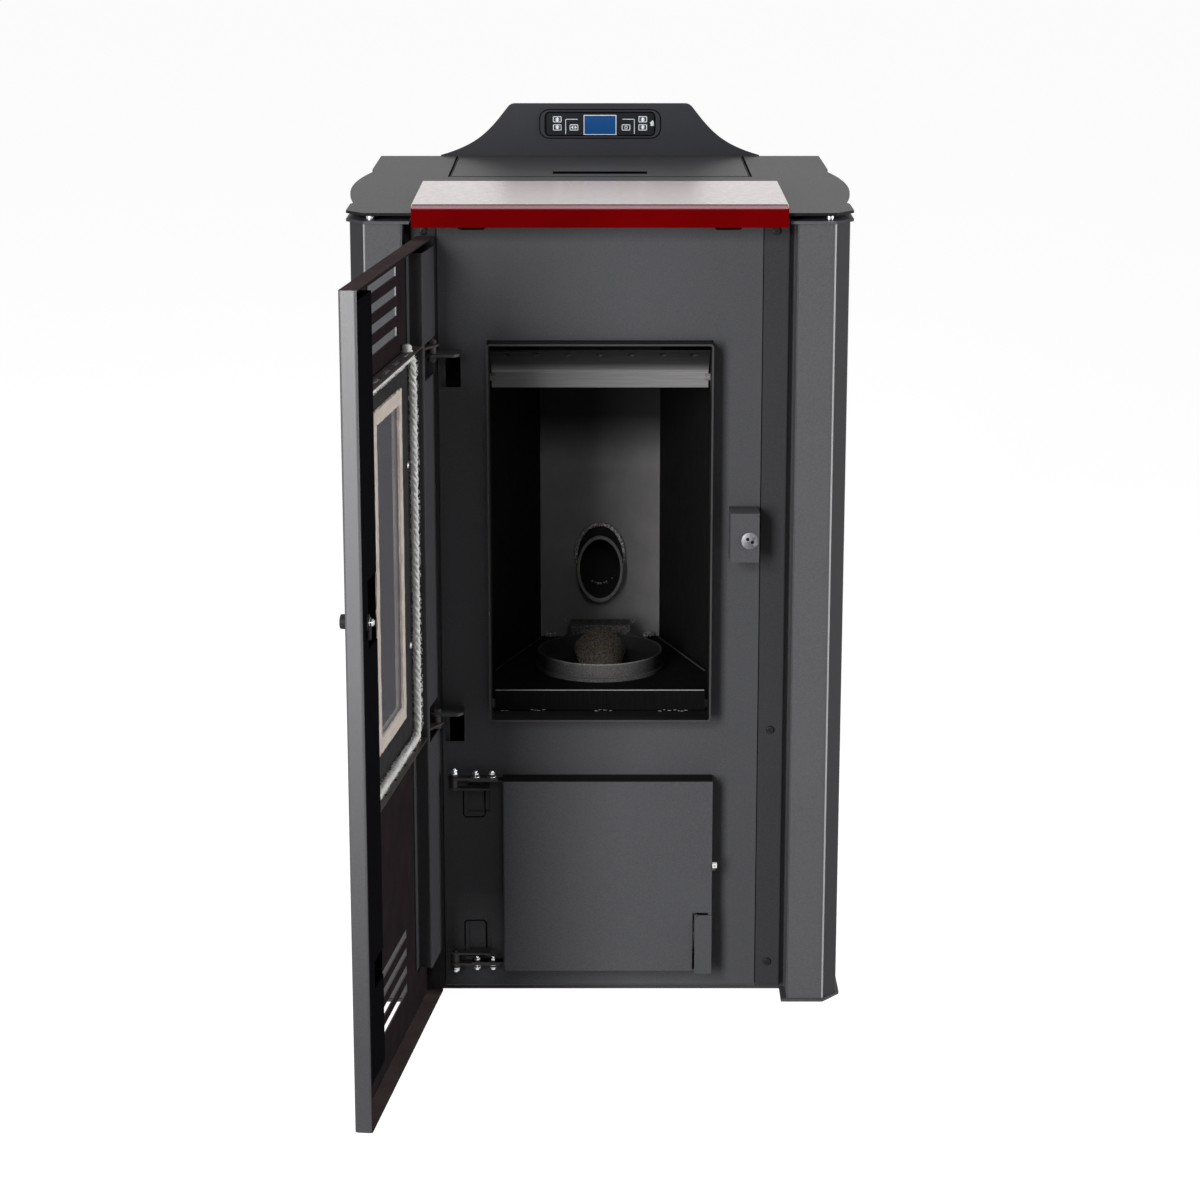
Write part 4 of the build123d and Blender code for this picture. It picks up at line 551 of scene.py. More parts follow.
@dataclass(frozen=True)
class FrontPaleIron(Finish):
    """Sooty iron of the burn pot, pale on the side that faces the door and darker behind."""

    soot: Colour = (0.016, 0.0155, 0.015)
    front_tone: Colour = (0.27, 0.262, 0.256)
    front: float = -0.170
    behind: float = -0.130

    def fill(self, sheet: NodeSheet) -> bpy.types.Material:
        """Builds fine grain that goes from pale at the front of the pot to dark towards its back.
        """
        grain = sheet.noise(900.0, 5.0, 0.6)
        return sheet.surface(
            Base_Color=sheet.blend(
                sheet.spread(sheet.part(sheet.place, "Y"), 1.0, 0.0, self.front, self.behind),
                sheet.ramp(grain, [(0.42, dimmed(self.soot, 0.5)), (0.62, self.soot)]),
                sheet.ramp(grain, [(0.42, dimmed(self.front_tone, 0.4)), (0.62, self.front_tone)]),
            ),
            Roughness=sheet.spread(grain, 0.6, 0.8),
            Specular_IOR_Level=0.3,
            Normal=sheet.bump(grain, 0.0002),
        )


@dataclass(frozen=True)
class Moulding(Finish):
    """Moulded plastic or smooth satin paint."""

    shade: Colour = (0.025, 0.026, 0.031)
    light: Colour = (0.035, 0.036, 0.043)
    roughness: float = 0.4
    grain: float = 1300.0
    relief: float = 0.00002
    specular: float = 0.16

    def fill(self, sheet: NodeSheet) -> bpy.types.Material:
        """Builds a fine even grain."""
        grain = sheet.noise(self.grain, 2.0)
        tone = sheet.noise(9.0, 2.0)
        fine = sheet.ramp(grain, [(0.35, self.shade), (0.65, self.light)])
        broad = sheet.ramp(tone, [(0.3, self.shade), (0.7, self.light)])
        return sheet.surface(
            Base_Color=sheet.blend(sheet.spread(tone, 0.3, 0.5), fine, broad),
            Roughness=sheet.spread(grain, self.roughness - 0.05, self.roughness + 0.06),
            Specular_IOR_Level=self.specular,
            Normal=sheet.bump(grain, self.relief),
        )


@dataclass(frozen=True)
class BlueScreen(Finish):
    """A backlit blue liquid-crystal screen."""

    shade: Colour = (0.0, 0.035, 0.14)
    light: Colour = (0.0, 0.05, 0.175)

    def fill(self, sheet: NodeSheet) -> bpy.types.Material:
        """Builds the faint grid of the screen's dots."""
        tones = {"Color1": self.shade, "Color2": self.light}
        dots = {"Vector": sheet.place, "Scale": 1600.0, **tones}
        return sheet.surface(
            Base_Color=sheet.add("ShaderNodeTexChecker", dots).outputs["Color"],
            Emission_Color=self.light,
            Emission_Strength=0.35,
            Roughness=0.18,
            Specular_IOR_Level=0.35,
        )


@dataclass(frozen=True)
class SmokedGlass(Finish):
    """Heat-proof ceramic glass with a smoky tint."""

    tint: Colour = (0.46, 0.46, 0.50)

    def fill(self, sheet: NodeSheet) -> bpy.types.Material:
        """Builds tinted glass with a trace of soot."""
        haze = sheet.noise(6.0, 2.0, 0.5)
        return sheet.surface(
            Base_Color=self.tint,
            Roughness=sheet.spread(haze, 0.03, 0.05),
            Transmission_Weight=0.85,
            IOR=1.5,
        )


@dataclass(frozen=True)
class Fibre(Finish):
    """Glass-fibre rope, yarn or tape."""

    shade: Colour = (0.74, 0.73, 0.71)
    light: Colour = (0.93, 0.93, 0.91)
    yarn: float = 1500.0
    relief: float = 0.0002

    def fill(self, sheet: NodeSheet) -> bpy.types.Material:
        """Builds soft, dull yarn."""
        fluff = sheet.noise(self.yarn, 4.0, 0.7)
        dirt = sheet.noise(60.0, 4.0, 0.6)
        yarn = sheet.ramp(fluff, [(0.3, self.shade), (0.62, self.light)])
        aged = sheet.ramp(dirt, [(0.3, self.shade), (0.6, self.light)])
        return sheet.surface(
            Base_Color=sheet.blend(sheet.spread(dirt, 0.2, 0.5), yarn, aged),
            Roughness=0.9,
            Specular_IOR_Level=0.2,
            Sheen_Weight=0.7,
            Sheen_Roughness=0.5,
            Normal=sheet.bump(fluff, self.relief),
        )


FINISHES: dict[Slot, Finish] = {
    Slot.GRAPHITE: PowderCoat("graphite_paint"),
    Slot.ENAMEL: Enamel("red_enamel"),
    Slot.FIREBOX: BurntSteel("firebox_black"),
    Slot.PRIMER: Primer("brown_primer"),
    Slot.ZINC: PlatedSteel("bright_zinc"),
    Slot.IRON: CastIron("sooty_iron"),
    Slot.PLASTIC: Moulding("panel_plastic"),
    Slot.KEYS: Moulding("key_plastic", (0.02, 0.02, 0.022), (0.028, 0.028, 0.031), 0.3),
    Slot.SCREEN: BlueScreen("blue_screen"),
    Slot.GLASS: SmokedGlass("smoked_glass"),
    Slot.ROPE: Fibre("white_rope"),
    Slot.TAPE: Fibre("beige_tape", (0.52, 0.43, 0.36), (0.80, 0.70, 0.62), 1100.0),
    Slot.GALVANISED: PlatedSteel(
        "galvanised", (0.26, 0.27, 0.28), (0.40, 0.41, 0.42), 90.0, 0.38, 0.55
    ),
    Slot.LATCH: PowderCoat(
        "dark_latch", (0.02, 0.02, 0.021), (0.032, 0.032, 0.034), rough_low=0.3
    ),
}
# The columns' paint, with their chamfers darkened as painted shade.
COLUMN_PAINT = PowderCoat(
    "column_paint", (0.08, 0.08, 0.086), (0.112, 0.112, 0.119), shaded_chamfer=(0.02, 0.02, 0.021)
)
STRIP_PAINT = PowderCoat("strip_paint", (0.034, 0.034, 0.037), (0.05, 0.05, 0.054))
# The top plate's and lid's sides and edges are near black, painted shade in their gaps; the level
# top keeps the paint's own tone.
TOP_PAINT_SHADED_SIDES = PowderCoat(
    "top_paint_shaded_sides", (0.008, 0.008, 0.009), (0.014, 0.014, 0.015), level=(0.07, 0.069, 0.073)
)
# The ash door's upward faces are near black: painted shadow in the gap above the door.
ASH_DOOR_SHADED_TOP = PowderCoat("ash_door_shaded_top", level=(0.006, 0.006, 0.006))
# Pale glossy paint for painted highlights along folds and edges.
FOLD_HIGHLIGHT = PowderCoat("fold_highlight", (0.26, 0.26, 0.27), (0.36, 0.36, 0.37), specular=0.4)
# Pink painted highlight along the red cover's rounded front edge.
COVER_LIP_HIGHLIGHT = Moulding("cover_lip", (0.29, 0.135, 0.15), (0.34, 0.17, 0.185), 0.25, specular=0.3)
PANEL_FILM = Moulding("panel_film", (0.008, 0.009, 0.012), (0.012, 0.013, 0.017), 0.3)
BLACK_SCREW = Moulding(
    "black_screw", (0.006, 0.006, 0.007), (0.011, 0.011, 0.012), 0.3, specular=0.2
)
ARM_STEEL = BurntSteel("arm_steel", (0.02, 0.017, 0.016), (0.05, 0.042, 0.04), 0.45, 0.25)
# Primer darkened as painted shade, for the shelves inside the open door.
SHADED_PRIMER = Primer("shaded_primer", (0.022, 0.017, 0.017), (0.045, 0.035, 0.035))
DOOR_PAINT = PrimedPaint("door_paint")
# Near black without gloss: painted shade in gaps, holes and grooves, on the door's right stiffener
# and the hopper bin, and the dark seam behind the cover's lip.
SEAM_AND_SHADE_BLACK = PowderCoat(
    "seam_and_shade_black", (0.004, 0.004, 0.005), (0.008, 0.008, 0.009), rough_low=0.6, rough_high=0.8,
    specular=0.0,
)
SHADED_PAINT = PowderCoat("shaded_paint", (0.042, 0.042, 0.045), (0.06, 0.06, 0.064))
# Pale ring on the drop tube's cut end: painted light.
TUBE_RIM_LIGHT = BurntSteel("tube_rim_light", (0.13, 0.125, 0.12), (0.24, 0.23, 0.225), 0.5, 0.2)
# Near black for the ash lip: painted shade on its shadowed face.
PAINTED_SHADE_BLACK = BurntSteel(
    "painted_shade_black", (0.003, 0.003, 0.003), (0.008, 0.008, 0.008), specular=0.02
)
# The firebox's back wall: pale painted light on its front faces, with a painted shadow of the
# baffle above 0.56 to 0.62 m.
WALL_LIT_AND_SHADOWED = BurntSteel(
    "wall_lit_and_shadowed", (0.006, 0.006, 0.006), (0.014, 0.013, 0.013), 0.6, 0.03, (0.27, 0.26, 0.265),
    (0.56, 0.62),
)
# The collar's front-facing edges are paler: a painted highlight.
COLLAR_LIT_EDGES = BurntSteel(
    "collar_lit_edges", (0.006, 0.006, 0.006), (0.02, 0.018, 0.018), 0.5, 0.06, (0.06, 0.057, 0.059)
)
BAFFLE_STEEL = GradedSteel("baffle_steel")
PALE_INK = Moulding("pale_ink", (0.80, 0.83, 0.88), (0.88, 0.91, 0.95), 0.5)
NYLON = Moulding("white_nylon", (0.70, 0.70, 0.68), (0.8, 0.8, 0.78), 0.35)
DULL_ZINC = PlatedSteel("dull_zinc", (0.1, 0.1, 0.105), (0.24, 0.24, 0.25), 220.0, 0.3, 0.5)
RUSTY_IRON = CastIron(
    "rusty_iron", (0.02, 0.017, 0.015), (0.5, 0.44, 0.38), (0.42, 0.28, 0.18), 0.0005, 560.0
)
POT_IRON = FrontPaleIron("pot_iron")
RIM_IRON = FrontPaleIron("rim_iron", (0.06, 0.056, 0.053), (0.66, 0.64, 0.61))
DIM_SEAM = BurntSteel("dim_seam", (0.035, 0.034, 0.034), (0.09, 0.087, 0.087), 0.6, 0.05)
WELD = CastIron("weld_bead", (0.12, 0.118, 0.118), (0.85, 0.83, 0.82), (0.3, 0.22, 0.17))


# ---- Modelling at the bench ----------------------------------------------------------------


class Bench:
    """Modelling steps shared by the sub-assemblies."""

    @staticmethod
    def take(piece: Piece) -> None:
        """Selects one piece alone and makes it active."""
        bpy.ops.object.select_all(action="DESELECT")
        piece.select_set(True)
        bpy.context.view_layer.objects.active = piece

    @staticmethod
    def fresh(name: str) -> Piece:
        """Names the object that an operator has just added and returns it."""
        piece = bpy.context.active_object
        piece.name = name
        piece.data.name = name
        return piece

    @staticmethod
    def settle(piece: Piece) -> Piece:
        """Puts a piece's place, turn and size into its mesh."""
        Bench.take(piece)
        bpy.ops.object.transform_apply(location=True, rotation=True, scale=True)
        return piece

    @staticmethod
    def cylinder(
        name: str, radius: float, depth: float, sides: int, at: Point = (0, 0, 0)
    ) -> Piece:
        """Adds a cylinder along Z that stands on a point."""
        bpy.ops.object.select_all(action="DESELECT")
        centre = (at[0], at[1], at[2] + depth / 2)
        bpy.ops.mesh.primitive_cylinder_add(
            vertices=sides, radius=radius, depth=depth, location=centre
        )
        return Bench.settle(Bench.fresh(name))

    @staticmethod
    def block(name: str, low: Point, high: Point) -> Piece:
        """Adds a block between two corners."""
        bpy.ops.object.select_all(action="DESELECT")
        bpy.ops.mesh.primitive_cube_add(size=1.0)
        piece = Bench.fresh(name)
        piece.location = [(a + b) / 2 for a, b in zip(low, high)]
        piece.scale = [b - a for a, b in zip(low, high)]
        return Bench.settle(piece)

    @staticmethod
    def finish_with(piece: Piece, kind: str, **settings: object) -> None:
        """Adds a modifier, sets it and applies it.

        Args:
            piece: the piece that it works on.
            kind: the modifier's type.
            **settings: its property values.
        """
        Bench.take(piece)
        modifier = piece.modifiers.new(kind.title(), kind)
        for key, value in settings.items():
            setattr(modifier, key, value)
        bpy.ops.object.modifier_apply(modifier=modifier.name)

    @staticmethod
    def round_edges(
        piece: Piece, width: float, segments: int = 2, sharper_than: float | None = None
    ) -> None:
        """Rounds the edges of a piece.

        Args:
            piece: the piece.
            width: the width of the rounding.
            segments: how many faces make it up.
            sharper_than: the angle in degrees that edges have to pass, or None for the usual.
        """
        limit = {}
        if sharper_than is not None:
            limit = {"limit_method": "ANGLE", "angle_limit": math.radians(sharper_than)}
        Bench.finish_with(piece, "BEVEL", width=width, segments=segments, **limit)

    @staticmethod
    def drill(piece: Piece, cutter: Piece) -> None:
        """Cuts one piece out of another and removes the cutter."""
        Bench.finish_with(
            piece, "BOOLEAN", operation="DIFFERENCE", object=cutter, solver="EXACT"
        )
        Bench.discard(cutter)

    @staticmethod
    def pick_faces(piece: Piece, test: Callable[[Vector, Vector], bool]) -> None:
        """Selects faces by centre and normal, and leaves the piece in edit mode.

        Args:
            piece: the mesh piece.
            test: is given a face's centre and normal, and says whether it is taken.
        """
        Bench.take(piece)
        bpy.ops.object.mode_set(mode="EDIT")
        bpy.ops.mesh.select_mode(type="FACE")
        bpy.ops.mesh.select_all(action="DESELECT")
        bpy.ops.object.mode_set(mode="OBJECT")
        for face in piece.data.polygons:
            face.select = test(face.center, face.normal)
        bpy.ops.object.mode_set(mode="EDIT")

    @staticmethod
    def leave_edit() -> None:
        """Goes back to object mode."""
        bpy.ops.object.mode_set(mode="OBJECT")

    @staticmethod
    def roughen(piece: Piece, cuts: int, reach: float) -> None:
        """Divides a piece that is being edited and moves every point a little.

        Args:
            piece: the piece, which leaves edit mode.
            cuts: how often each edge is cut.
            reach: the furthest that a point moves along an axis, in millimetres.
        """
        bpy.ops.mesh.select_all(action="SELECT")
        bpy.ops.mesh.subdivide(number_cuts=cuts)
        Bench.leave_edit()
        for vertex in piece.data.vertices:
            vertex.co += Vector(random.uniform(-reach, reach) * MM for _ in range(3))

    @staticmethod
    def smooth(piece: Piece, degrees: float = 35.0) -> None:
        """Shades a piece smooth up to an angle between faces."""
        Bench.take(piece)
        bpy.ops.object.shade_smooth_by_angle(angle=math.radians(degrees))

    @staticmethod
    def copy(piece: Piece, name: str, place: Matrix) -> Piece:
        """Copies a piece with a mesh of its own.

        Args:
            piece: the piece that is copied.
            name: the copy's name.
            place: where the copy's mesh goes.

        Returns:
            The copy.
        """
        Bench.take(piece)
        bpy.ops.object.duplicate(linked=False)
        twin = Bench.fresh(name)
        twin.data.transform(place)
        return twin

    @staticmethod
    def join(name: str, pieces: Sequence[Piece]) -> Piece:
        """Joins pieces into one under a name and returns it."""
        Bench.take(pieces[0])
        for piece in pieces[1:]:
            piece.select_set(True)
        if len(pieces) > 1:
            bpy.ops.object.join()
        return Bench.fresh(name)

    @staticmethod
    def discard(piece: Piece) -> None:
        """Removes a helper piece."""
        bpy.data.objects.remove(piece, do_unlink=True)

    @staticmethod
    def link(name: str, data: bpy.types.ID) -> Piece:
        """Puts data into the scene as an object, which is selected alone, and returns it."""
        piece = bpy.data.objects.new(name, data)
        bpy.context.scene.collection.objects.link(piece)
        Bench.take(piece)
        return piece

    @staticmethod
    def traced(curve: bpy.types.Curve, name: str) -> Piece:
        """Turns a curve into a mesh piece and returns it."""
        Bench.link(name, curve)
        bpy.ops.object.convert(target="MESH")
        return Bench.fresh(name)

    @staticmethod
    def stamp(name: str, shapes: Sequence[Outline], depth: float) -> Piece:
        """Cuts flat shapes out of a thin film, upright and facing the front.

        Args:
            name: the piece's name.
            shapes: the outline of each shape as X and Z; one inside another is a hole.
            depth: the film's thickness.

        Returns:
            The mesh piece, with its back at Y = 0.
        """
        curve = bpy.data.curves.new(name, "CURVE")
        curve.dimensions = "2D"
        curve.fill_mode = "BOTH"
        curve.extrude = depth / 2
        for outline in shapes:
            spline = curve.splines.new("POLY")
            spline.points.add(len(outline) - 1)
            for knot, (x, z) in zip(spline.points, outline):
                knot.co = (x, z, 0.0, 1.0)
            spline.use_cyclic_u = True
        piece = Bench.traced(curve, name)
        piece.data.transform(
            Matrix.Translation((0, -depth / 2, 0)) @ Matrix.Rotation(math.radians(90), 4, "X")
        )
        return piece

    @staticmethod
    def strokes(
        name: str,
        lines: Sequence[Sequence[Point]],
        thickness: float,
        swell: Callable[[int], float] | None = None,
        fineness: int = 1,
    ) -> Piece:
        """Draws lines as thin round beads.

        Args:
            name: the piece's name.
            lines: the points of each line; a line that ends where it starts is closed.
            thickness: the bead's width.
            swell: gives the share of the width at a point by its number, or None for all of it.
            fineness: how round the bead is.

        Returns:
            The mesh piece.
        """
        curve = bpy.data.curves.new(name, "CURVE")
        curve.dimensions = "3D"
        curve.bevel_depth = thickness / 2
        curve.bevel_resolution = fineness
        curve.use_fill_caps = True
        for points in lines:
            closed = points[0] == points[-1]
            kept = list(points[:-1]) if closed else list(points)
            spline = curve.splines.new("POLY")
            spline.points.add(len(kept) - 1)
            for index, (knot, point) in enumerate(zip(spline.points, kept)):
                knot.co = (*point, 1.0)
                if swell:
                    knot.radius = swell(index)
            spline.use_cyclic_u = closed
        return Bench.traced(curve, name)


@dataclass
class Stove:
    """What the sub-assemblies share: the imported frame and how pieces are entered."""

    nodes: dict[str, Piece]

    def enter(
        self,
        piece: Piece,
        body: Body,
        slot: Slot,
        finish: Finish | None = None,
        stands_for: Sequence[str] = (),
    ) -> None:
        """Gives a finished piece its material, chosen by its slot, and its body.

        Args:
            piece: the new piece.
            body: the body that it moves with.
            slot: the record's slot that its finish belongs to.
            finish: its finish, or None for the slot's own.
            stands_for: the CAD nodes that it replaces.
        """
        piece.data.materials.clear()
        piece.data.materials.append((finish or FINISHES[slot]).material())
        Bench.take(piece)
        bpy.ops.object.select_all(action="DESELECT")
        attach(piece, body.value)
        if stands_for:
            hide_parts(*stands_for)
        LOG.info("%s rides on %s, %d faces", piece.name, body.value, len(piece.data.polygons))

    def dress_nodes(self) -> None:
        """Gives every CAD node the finish of its slot."""
        for name, node in self.nodes.items():
            for holder in node.material_slots:
                slot = Slot(holder.material.name.split(".")[0])
                holder.material = FINISHES[slot].material()
            LOG.info("%s dressed", name)

    def dress(self, finish: Finish, *names: str) -> None:
        """Gives CAD nodes a finish of their own."""
        for name in names:
            for holder in self.nodes[name].material_slots:
                holder.material = finish.material()

    def dress_apart(self) -> None:
        """Gives the nodes that differ from the rest of their slot their own finish."""
        self.dress(COLUMN_PAINT, *(n for n in self.nodes if n.startswith("column_")))
        self.dress(STRIP_PAINT, "front_strip_left", "front_strip_right")
        # The top plate and lid have near-black sides as painted shade.
        self.dress(TOP_PAINT_SHADED_SIDES, "top_plate", "hopper_lid")
        # The door pan's inside is primer darkened as painted shade.
        self.dress(DOOR_PAINT, "door_pan")
        # The door's right stiffener and the hopper bin are near black as painted shade.
        self.dress(SEAM_AND_SHADE_BLACK, "door_stiffener_right", "hopper_bin")
        # The ash lip is near black as painted shade.
        self.dress(PAINTED_SHADE_BLACK, "ash_lip")
        # The firebox shell carries painted light and the baffle's painted shadow.
        self.dress(WALL_LIT_AND_SHADOWED, "firebox_shell")
        # The ash door's upward faces carry a painted shadow.
        self.dress(ASH_DOOR_SHADED_TOP, "ash_door")
        self.dress(SHADED_PAINT, "door_stiffener_left")
        # The door's shelves are primer darkened as painted shade.
        self.dress(SHADED_PRIMER, "door_shelf_upper", "door_shelf_lower")
        # The collar's front edges carry a painted highlight.
        self.dress(COLLAR_LIT_EDGES, "firebox_collar")
        # The deflector carries a painted highlight and painted shade by height.
        self.dress(BAFFLE_STEEL, "deflector")
        self.dress(POT_IRON, "burn_pot")
        self.dress(ARM_STEEL, "ash_door_arms", "door_hinge_arms", "hinge_bolts")

    def copy_of(self, node: str, name: str) -> Piece:
        """Copies a CAD node as a merged mesh that can be worked on.

        Args:
            node: the CAD node's name.
            name: the copy's name.

        Returns:
            The copy, with its doubled points merged.
        """
        Bench.link(name, self.nodes[node].data.copy())
        bpy.ops.object.mode_set(mode="EDIT")
        bpy.ops.mesh.select_all(action="SELECT")
        bpy.ops.mesh.remove_doubles(threshold=1e-6)
        bpy.ops.object.mode_set(mode="OBJECT")
        bpy.ops.mesh.customdata_custom_splitnormals_clear()
        return Bench.fresh(name)


# ---- Small fasteners -----------------------------------------------------------------------


@dataclass(frozen=True)
class Fastener:
    """A screw head or nut that is modelled once and copied."""

    def head(self, name: str) -> Piece:
        """Builds the pattern on the origin, facing +Z; each kind has its own."""
        raise NotImplementedError

    def row(self, name: str, places: Iterable[Matrix]) -> Piece:
        """Sets copies of the pattern at places.

        Args:
            name: the name of the joined piece.
            places: a matrix for each copy, whose Z is the way that it faces.

        Returns:
            All the copies as one piece.
        """
        pattern = self.head(f"{name}_pattern")
        copies = [
            Bench.copy(pattern, f"{name}_{index}", place) for index, place in enumerate(places)
        ]
        Bench.discard(pattern)
        return Bench.join(name, copies)


@dataclass(frozen=True)
class ButtonScrew(Fastener):
    """A domed screw head with a hexagon socket."""

    radius: float = 4.6 * MM
    height: float = 2.4 * MM
    socket: float = 2.0 * MM
    socket_depth: float = 1.5 * MM
    washer: float = 0.0

    def head(self, name: str) -> Piece:
        """Builds the head on the origin, facing +Z, and returns it."""
        piece = Bench.cylinder(name, self.radius, self.height, 28)
        Bench.pick_faces(piece, lambda centre, normal: centre.z > self.height - 1e-6)
        bpy.ops.mesh.inset(thickness=self.radius * 0.45, depth=0)
        Bench.leave_edit()
        Bench.round_edges(piece, self.height * 0.62, 4, 60)
        bottom = (0, 0, self.height - self.socket_depth)
        cutter = Bench.cylinder(
            "socket_cutter", self.socket, self.socket_depth + 1 * MM, 6, bottom
        )
        Bench.drill(piece, cutter)
        if self.washer:
            ring = Bench.cylinder(f"{name}_washer", self.washer, 0.8 * MM, 32)
            Bench.round_edges(ring, 0.2 * MM)
            piece.data.transform(Matrix.Translation((0, 0, 0.75 * MM)))
            piece = Bench.join(name, [piece, ring])
        Bench.smooth(piece)
        return piece


@dataclass(frozen=True)
class HexNut(Fastener):
    """A hexagon nut or bolt head on a washer, with the end of its bolt."""

    across: float = 8.5 * MM
    height: float = 4.0 * MM
    washer: float = 5.4 * MM
    stub: float = 2.2 * MM

    def head(self, name: str) -> Piece:
        """Builds the nut on the origin, facing +Z, and returns it."""
        base = 0.9 * MM
        ring = Bench.cylinder(f"{name}_washer", self.washer, base, 32)
        Bench.round_edges(ring, 0.25 * MM)
        nut = Bench.cylinder(f"{name}_nut", self.across / 2, self.height, 6, (0, 0, base))
        Bench.round_edges(nut, 0.5 * MM, 3, 50)
        bolt = Bench.cylinder(
            f"{name}_bolt", self.across * 0.3, self.height + self.stub, 20, (0, 0, base)
        )
        Bench.round_edges(bolt, 0.5 * MM)
        piece = Bench.join(name, [nut, ring, bolt])
        Bench.smooth(piece)
        return piece


def facing(at: Point, direction: Point, turn: float = 0.0) -> Matrix:
    """Makes the place of a fastener.

    Args:
        at: the point that it sits on.
        direction: the way that its head faces.
        turn: its turn about that direction, in degrees.

    Returns:
        The matrix that puts a piece built along Z there.
    """
    aim = Vector(direction).to_track_quat("Z", "Y").to_matrix().to_4x4()
    return Matrix.Translation(at) @ aim @ Matrix.Rotation(math.radians(turn), 4, "Z")


def across(box: tuple[Vector, Vector], y: float, z: float) -> list[Point]:
    """Draws a line from one side of a box to the other.

    Args:
        box: the box's lower and upper corners.
        y: the line's Y.
        z: its height.

    Returns:
        The line's ends, just inside the box's sides.
    """
    return [(box[0].x + 1 * MM, y, z), (box[1].x - 1 * MM, y, z)]


# ---- Sub-assemblies ------------------------------------------------------------------------


@dataclass
class Casing:
    """Screws, folds and a lip with painted highlights, a dark seam, lines of painted shade and
    sleeves on the outside of the painted casing.
    """

    stove: Stove
    screw_x: float = 192 * MM
    screw_heights: tuple[float, ...] = (880 * MM, 316 * MM, 38 * MM)
    rear_inset: float = 9 * MM
    rear_rows: int = 5
    lid_inset: float = 1.0 * MM
    lid_depth: float = 0.75 * MM
    lid_hinge_gap: float = 20 * MM
    grip_half: float = 56.5 * MM
    grip_front: float = 88 * MM
    grip_back: float = 112 * MM
    sleeve_place: Point = (247.7 * MM, -0.2815, 0.8928)

    def front_screws(self) -> None:
        """Sets the button screws that hold the two front strips."""
        low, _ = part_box("front_strip_right")
        places = [
            facing((side * self.screw_x, low.y, height), FRONT, 20 * index)
            for side in SIDES
            for index, height in enumerate(self.screw_heights)
            if side > 0 or index == 0
        ]
        piece = ButtonScrew().row("strip_screws", places)
        self.stove.enter(piece, Body.STOVE, Slot.PLASTIC, BLACK_SCREW)

    def rear_screws(self) -> None:
        """Sets the screws round the edge of the rear panel."""
        low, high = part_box("rear_panel")
        rise = high.z - low.z - 2 * self.rear_inset
        places: list[Matrix] = []
        for index in range(self.rear_rows):
            height = low.z + self.rear_inset + rise * index / (self.rear_rows - 1)
            for x in (low.x + self.rear_inset, high.x - self.rear_inset):
                places.append(facing((x, high.y, height), REAR, 33 * index))
        screw = ButtonScrew(3.8 * MM, 2.0 * MM, 1.7 * MM, washer=5.6 * MM)
        piece = screw.row("rear_screws", places)
        self.stove.enter(piece, Body.STOVE, Slot.ZINC)

    def cover_lip(self) -> None:
        """Rounds the cover's front edge with a pink painted highlight and draws the seam behind
        it.
        """
        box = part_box("top_cover")
        front, top = box[0].y, box[1].z
        for name, back, depth, width, fineness, slot, finish in (
            ("cover_lip", 1.3, 1.5, 4.2, 5, Slot.ENAMEL, COVER_LIP_HIGHLIGHT),
            ("cover_seam", 6.2, 0.1, 2.2, 3, Slot.PLASTIC, SEAM_AND_SHADE_BLACK),
        ):
            line = across(box, front + back * MM, top - depth * MM)
            bead = Bench.strokes(name, [line], width * MM, fineness=fineness)
            Bench.smooth(bead, 60)
            self.stove.enter(bead, Body.STOVE, slot, finish)

    def lid_lines(self) -> None:
        """Draws black painted shade along the gap round the lid and in the lid's grip slot."""
        low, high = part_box("hopper_lid")
        left, right = low.x + self.lid_inset, high.x - self.lid_inset
        front, back = low.y + self.lid_inset, high.y - self.lid_hinge_gap
        corners = ((left, back), (left, front), (right, front), (right, back))
        edge = [(x, y, high.z - self.lid_depth) for x, y in corners]
        gap_shade = Bench.strokes("lid_gap_shade", [edge], 2.0 * MM, fineness=3)
        Bench.smooth(gap_shade, 60)
        slot_shade = Bench.block(
            "lid_slot_shade",
            (-self.grip_half, self.grip_front, high.z - 0.5 * MM),
            (self.grip_half, self.grip_back, high.z + 0.3 * MM),
        )
        Bench.round_edges(slot_shade, 0.3 * MM)
        piece = Bench.join("lid_lines", [gap_shade, slot_shade])
        self.stove.enter(piece, Body.LID, Slot.PLASTIC, SEAM_AND_SHADE_BLACK)

    def column_folds(self) -> None:
        """Rounds the folds of the front columns; the outer fold is pale paint, a painted
        highlight.
        """
        low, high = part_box("column_front_right")
        ends = (low.z + 0.5 * MM, high.z - 0.5 * MM)
        for name, x, width, finish in (
            ("outer", 254.2 * MM, 2.2 * MM, FOLD_HIGHLIGHT),
            ("inner", 213.9 * MM, 1.2 * MM, COLUMN_PAINT),
        ):
            y = low.y + 0.55 * width / 2
            lines = [[(side * x, y, z) for z in ends] for side in SIDES]
            fold = Bench.strokes(f"column_fold_{name}", lines, width, fineness=4)
            Bench.smooth(fold, 60)
            self.stove.enter(fold, Body.STOVE, Slot.GRAPHITE, finish)

    def cap_bolts(self) -> None:
        """Adds the bright sleeves between the column caps and the top plate."""
        x, y, z = self.sleeve_place
        sleeves = []
        for side in SIDES:
            place = (side * x, y, z)
            sleeve = Bench.cylinder(f"cap_sleeve_{side}", 4.4 * MM, 6.6 * MM, 32, place)
            Bench.round_edges(sleeve, 0.6 * MM)
            sleeves.append(sleeve)
        piece = Bench.join("cap_sleeves", sleeves)
        Bench.smooth(piece)
        self.stove.enter(piece, Body.STOVE, Slot.ZINC)

    def build(self) -> None:
        """Builds the casing's pieces."""
        self.front_screws()
        self.rear_screws()
        self.cover_lip()
        self.lid_lines()
        self.column_folds()
        self.cap_bolts()


